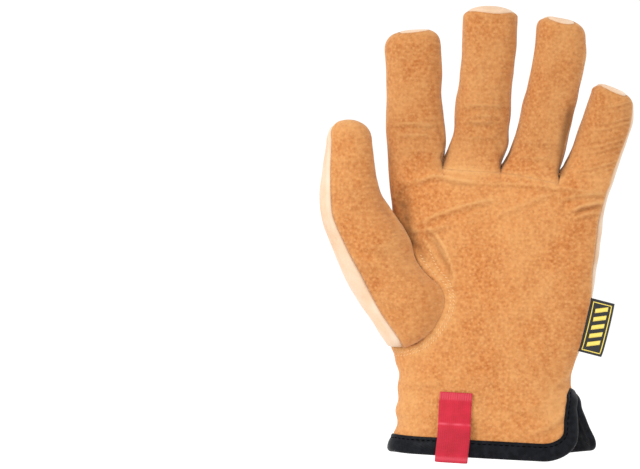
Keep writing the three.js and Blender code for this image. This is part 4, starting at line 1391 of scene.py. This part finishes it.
def badge_outline(inset):
    """The badge's outline shrunk by an inset: a trapezoid on the tape whose two upper corners are round."""
    low_half, high_half = BADGE["low_half"] - inset, BADGE["high_half"] - inset
    corner, top = max(BADGE["corner"] - inset, 1.5), BADGE["high"] - inset
    turn = np.linspace(0, np.pi / 2, 12)
    arc_x = high_half - corner + corner * np.cos(turn)
    arc_z = top - corner + corner * np.sin(turn)
    low_x = np.linspace(-low_half, low_half, 30)
    low_z = read(HEM_BACK, "z", BADGE["centre"] + low_x, by="x") + TAPE_WIDTH + 0.4 + inset
    x = np.concatenate([low_x, arc_x, -arc_x[::-1], low_x[:1]]) + BADGE["centre"]
    z = np.concatenate([low_z, arc_z, arc_z[::-1], low_z[:1]])
    return even_path(np.stack([x, z], 1), count=201)[:-1]


def patch_bar(corners, place, low, high, steps=14):
    """A flat bar over a surface: four corners in its coordinates, with a lower and an upper height."""
    along, across = np.linspace(0, 1, steps)[:, None], np.array([0, 0, 1, 1, 0.5])[None, :]
    first, second, third, fourth = (np.array(corner, float)[:, None, None] for corner in corners)
    u, v = mix(mix(first, second, along), mix(fourth, third, along), across)
    out = np.array([low, high, high, low, low])[None, :] + 0 * u
    return sweep(place(u, v, out))


def frame_bars(left, right, bottom, top, wide):
    """The four bars of a rectangular frame, each as four corners."""
    return [
        ((left, bottom), (right, bottom), (right, bottom + wide), (left, bottom + wide)),
        ((left, top - wide), (right, top - wide), (right, top), (left, top)),
        ((left, bottom), (left, top), (left + wide, top), (left + wide, bottom)),
        ((right - wide, bottom), (right - wide, top), (right, top), (right, bottom)),
    ]


def make_badge():
    """The badge on the back of the cuff: a half-round rim, a plate, and a plain pattern without any mark."""
    def lift(outline, out):
        return on_hand(*outline.T, BACK, out)[0]

    def place(u, v, out):
        return on_hand(u + BADGE["centre"], v, BACK, out)[0]

    share = np.linspace(0, 1, 11)
    rows = [*zip(share, 0.15 + 2.5 * np.sqrt(1 - (2 * share - 1) ** 2)), (0.5, 0.05)]
    rings = np.array([lift(badge_outline(0.05 + inset * BADGE["rim"]), out) for inset, out in rows])
    rim = sweep(rings.transpose(1, 0, 2), loop=True)
    mesh_piece("badge_rim", *merge([rim]), RUBBER, "badge_rubber", "badge_rim")
    edge = badge_outline(BADGE["rim"] - 0.1)
    middle = edge.mean(0)
    rows = ((1.0, 0.1), (1.0, 1.2), (0.97, 1.45), (0.93, 1.5), (0.7, 1.6), (0.45, 1.7), (0.2, 1.75))
    plate = sweep(np.array([lift(middle + (edge - middle) * size, out) for size, out in rows]))
    mesh_piece("cuff_badge", *merge([plate]), RUBBER, "badge_rubber", "cuff_badge")
    bars = frame_bars(-16, 16, 8.6, 19.6, 0.7)
    for u in (-12, -6.8, -1.6, 3.6, 8.8):
        bars.append(((u - 1.4, 10.4), (u + 1.4, 10.4), (u + 4.4, 17.8), (u + 1.6, 17.8)))
    blocks = [((u, 21.4), (u + 7.4, 21.4), (u + 7.4, 24.4), (u, 24.4)) for u in (-13, -4, 5)]
    for name, group, finish in (("badge_pattern", bars, YELLOW), ("badge_blocks", blocks, RED)):
        shapes = [patch_bar(bar, place, 1.4, 2.05) for bar in group]
        mesh_piece(name, *merge(shapes), finish, "badge_rubber", "cuff_badge")


LOOP = dict(top_x=-19.3, low_x=-22.1, top=29.0, low=-9.6, wide=17.8)
# The pull loop's middle line: how far out of the palm leather, and its height
LOOP_LINE = table(
    "out z",
    (1.0, 30.0), (1.1, 24.0), (1.3, 19.0), (2.2, 15.4), (3.6, 12.4), (4.1, 9.0), (4.3, 2.0), (4.2, -3.4),
    (4.0, -6.2), (3.5, -7.5), (2.9, -7.7), (2.5, -6.6), (2.4, -3.0), (2.5, 2.0), (2.4, 5.4), (1.6, 7.6),
    (0.9, 9.6), (0.8, 11.6),
)


def rounded_slab(wide, thick, count=36):
    """A flat section with rounded edges, |across|^9 + |through|^2.9 = 1, its points denser at the edges."""
    turn = np.linspace(0, 2 * np.pi, count + 1)[:-1]
    across = np.cos(turn)
    through = np.sign(np.sin(turn)) * np.clip(1 - np.abs(across) ** 9, 0, 1) ** (1 / 2.9)
    return wide / 2 * across, thick / 2 * through


def make_loop():
    """Red webbing sewn to the palm, folded below the hem and brought up behind itself."""
    last = len(LOOP_LINE["z"]) - 1
    rows = dict(LOOP_LINE, n=np.arange(last + 1.0))
    places = np.linspace(0, last, 130)
    out, z = read(rows, "out", places, by="n"), read(rows, "z", places, by="n")
    across, through = rounded_slab(LOOP["wide"], 1.0, 120)
    middle_x = mix(LOOP["low_x"], LOOP["top_x"], (z - LOOP["low"]) / (LOOP["top"] - LOOP["low"]))
    way = unit(np.stack([np.gradient(z), -np.gradient(out)], 1))
    front = places < 8
    sewn = (ramp(z, 25.3, 1.2) * ramp(z, 30.4, -1.5) * front)[:, None]
    ribbing = np.sin(across * 2 * np.pi / 1.25) * (0.7 + 0.3 * np.sin(across * 1.3))
    reach = through + 0.16 * sewn * ribbing
    x = (middle_x + 0.25 * np.sin(z / 5.0))[:, None] + across
    lifted = out[:, None] + reach * way[:, :1]
    height = z[:, None] + reach * way[:, 1:] - 0.055 * across
    rings = on_skin(x, height, FRONT) + np.array([-0.12, -0.99, 0.0]) * lifted[..., None]
    lengths = np.concatenate([[0], np.cumsum(np.hypot(np.diff(out), np.diff(z)))])
    # Painted shade over the lower part, a painted highlight near the bottom fold, a pale line along the
    # crease in front and paler ribs where it is sewn.
    shade = 0.34 * ramp(z, 12, -4) * ramp(z, -5, 4) - 0.4 * bell(z + 6, 1.1)
    crease = 0.7 * bell(z - 12.6, 0.5) * front
    light = crease[:, None] * (0.65 + 0.35 * np.sin(across * 0.75))
    dark = np.pad(shade[:, None] - light - sewn * (0.28 + 0.24 * ribbing), ((1, 1), (0, 0)))
    along = np.pad(lengths, 1, mode="edge")[:, None]
    values = {"across": across + 0 * along, "along": along + 0 * across, "dark": dark}
    shape = merge([sweep(rings)])
    mesh_piece("pull_loop", *shape, WEBBING, "webbing", "pull_loop", weld=0.001, values=values)


# The side label: its size, how much of it is tucked into the seam, and how steeply it hangs
TAG = dict(wide=18.6, low=52.2, high=81.6, thick=1.1, tucked=6.6, lean=0.258)


def make_label():
    """A small folded label in the seam on the little finger's side, with a thin border and plain bars."""
    def place(u, v, out):
        x = read(HAND, "right", v) - TAG["tucked"] + u
        bend = 0.5 * np.sin(u / TAG["wide"] * 2.4) + 0.3 * np.sin(v / 9.0)
        return np.stack([x, -5.4 - out + bend, v - TAG["lean"] * (u - 6)], -1)

    z = mix(TAG["low"], TAG["high"], np.linspace(0, 1, 24)[:, None])
    across, through = rounded_slab(TAG["wide"], TAG["thick"])
    rings = place(across + TAG["wide"] / 2 + 0 * z, z + 0 * across, through + 0 * z)
    mesh_piece("side_label", *merge([sweep(rings)]), LABEL, "label_cloth", "side_label")
    bars = frame_bars(7.0, 17.4, 53.4, 80.1, 0.5)
    for v in (55.6, 60.2, 64.8, 69.4, 74.0):
        bars.append(((9.0, v), (15.6, v + 2.6), (15.6, v + 5.0), (9.0, v + 2.4)))
    for sign, name in ((1, "label_pattern_front"), (-1, "label_pattern_back")):
        shapes = [patch_bar(bar, place, sign * 0.45, sign * 0.72) for bar in bars]
        mesh_piece(name, *merge(shapes), YELLOW, "label_cloth", "side_label")


def seam_beside(path, offset):
    """A polyline in X and Z moved sideways by an offset, to the left of its direction."""
    way = unit(np.gradient(path, axis=0))
    return path + offset * np.stack([-way[:, 1], way[:, 0]], 1)


def on_skin(x, z, side):
    """Places on the smooth palm or back by X and Z."""
    centre, half, middle, depth = hand_section(z)
    return np.stack([x, middle + side * depth * fullness((x - centre) / half), z], -1)


def make_stitches():
    """Pale double rows round the thumb's seam, beside the seams behind, and two zigzags over the elastic."""
    z = np.concatenate([np.linspace(104, 79, 24), np.linspace(78.8, 56.2, 24)[1:]])
    seam = even_path(np.concatenate([thumb_seam(z), [(-48.0, 54.4), (-52.4, 54.4)]]), 1.5)
    rows = []
    for offset, flare in ((2.4, 0.6), (4.3, 4.6)):
        x, height = seam_beside(seam, (offset + flare * ramp(seam[:, 1], 82, 26))[:, None]).T
        centres, ways, normals = stitch_row(on_skin(x, height, FRONT), "palm_panel", 1.95)
        rows.append((centres, unit(ways + 0.6 * np.cross(normals, ways)), normals))
    z = np.linspace(12, 124, 60)
    for offset in (2.2, 4.4):
        rows.append(stitch_row(on_skin(read(BACK_SEAM, "x", z) - offset, z, BACK), "palm_panel", 2.5))
    stitches("seam_stitches", rows, PALE_THREAD, "suede", "palm_panel", 1.4, 0.25)
    rows = []
    z = np.linspace(60, 160, 60)
    for offset in (2.4, 4.6):
        x, y = thumb_point(thumb_across("behind", z) + offset / thumb_width(z)[1], z, BACK)
        rows.append(stitch_row(lean_and_curl(x, y, z, None), "thumb_front", 2.5))
    stitches("thumb_stitches", rows, PALE_THREAD, "suede", "thumb_front", 1.9, 0.24)
    x = np.arange(-36, 45, GATHER_PITCH / 12)
    lines = [on_skin(x, row + GATHER_SWING * zigzag(x), BACK) for row in GATHER_ROWS]
    rows = [stitch_row(line, "back_panel", 1.7, lift=0.05) for line in lines]
    stitches("elastic_stitches", rows, TAN_THREAD, "grain_leather", "back_panel", 1.3, 0.2)


def aim(thing, place, way):
    """Puts a lamp or the camera at a place and turns it to look along a way."""
    thing.location = place
    thing.rotation_mode = "QUATERNION"
    thing.rotation_quaternion = Vector(way).to_track_quat("-Z", "Y")


make_tape()
make_badge()
make_loop()
make_label()
make_stitches()

# Floor, light and camera


def make_stage():
    """A pale floor below the glove, a white world, a soft key light and the photograph's camera."""
    mesh = bpy.data.meshes.new("floor")
    reach, level = 30.0, -0.045
    corners = [(-reach, -reach, level), (reach, -reach, level), (reach, reach, level), (-reach, reach, level)]
    mesh.from_pydata(corners, [], [(0, 1, 2, 3)])
    paper = Finish("pale_floor", 1.0, Specular_IOR_Level=0.0)
    paper.colour((0.97, 0.97, 0.97))
    mesh.materials.append(paper.material)
    add_object("floor", mesh)
    world = bpy.data.worlds.new("studio")
    world.use_nodes = True
    sky = world.node_tree.nodes["Background"].inputs
    sky["Color"].default_value = (1, 1, 1, 1)
    sky["Strength"].default_value = 1.06
    bpy.context.scene.world = world
    target = Vector((-0.01, 0, 0.12))
    lamps = (("key", (-1.5, -1.5, 1.3), 0.7, 26.0), ("fill", (1.6, 1.8, 1.6), 1.4, 12.0))
    for name, place, size, power in lamps:
        light = bpy.data.lights.new(name, "AREA")
        light.size = size
        light.energy = power
        aim(add_object(name, light), place, target - Vector(place))
    lens = bpy.data.cameras.new("camera")
    lens.lens = 200
    lens.sensor_width = 36
    lens.clip_start = 0.05
    lens.clip_end = 200
    camera = add_object("camera", lens)
    aim(camera, (-0.09435, -1.973, 0.1168), (0, 1, 0))
    bpy.context.scene.camera = camera
    bpy.context.scene.view_settings.view_transform = "Standard"


make_stage()
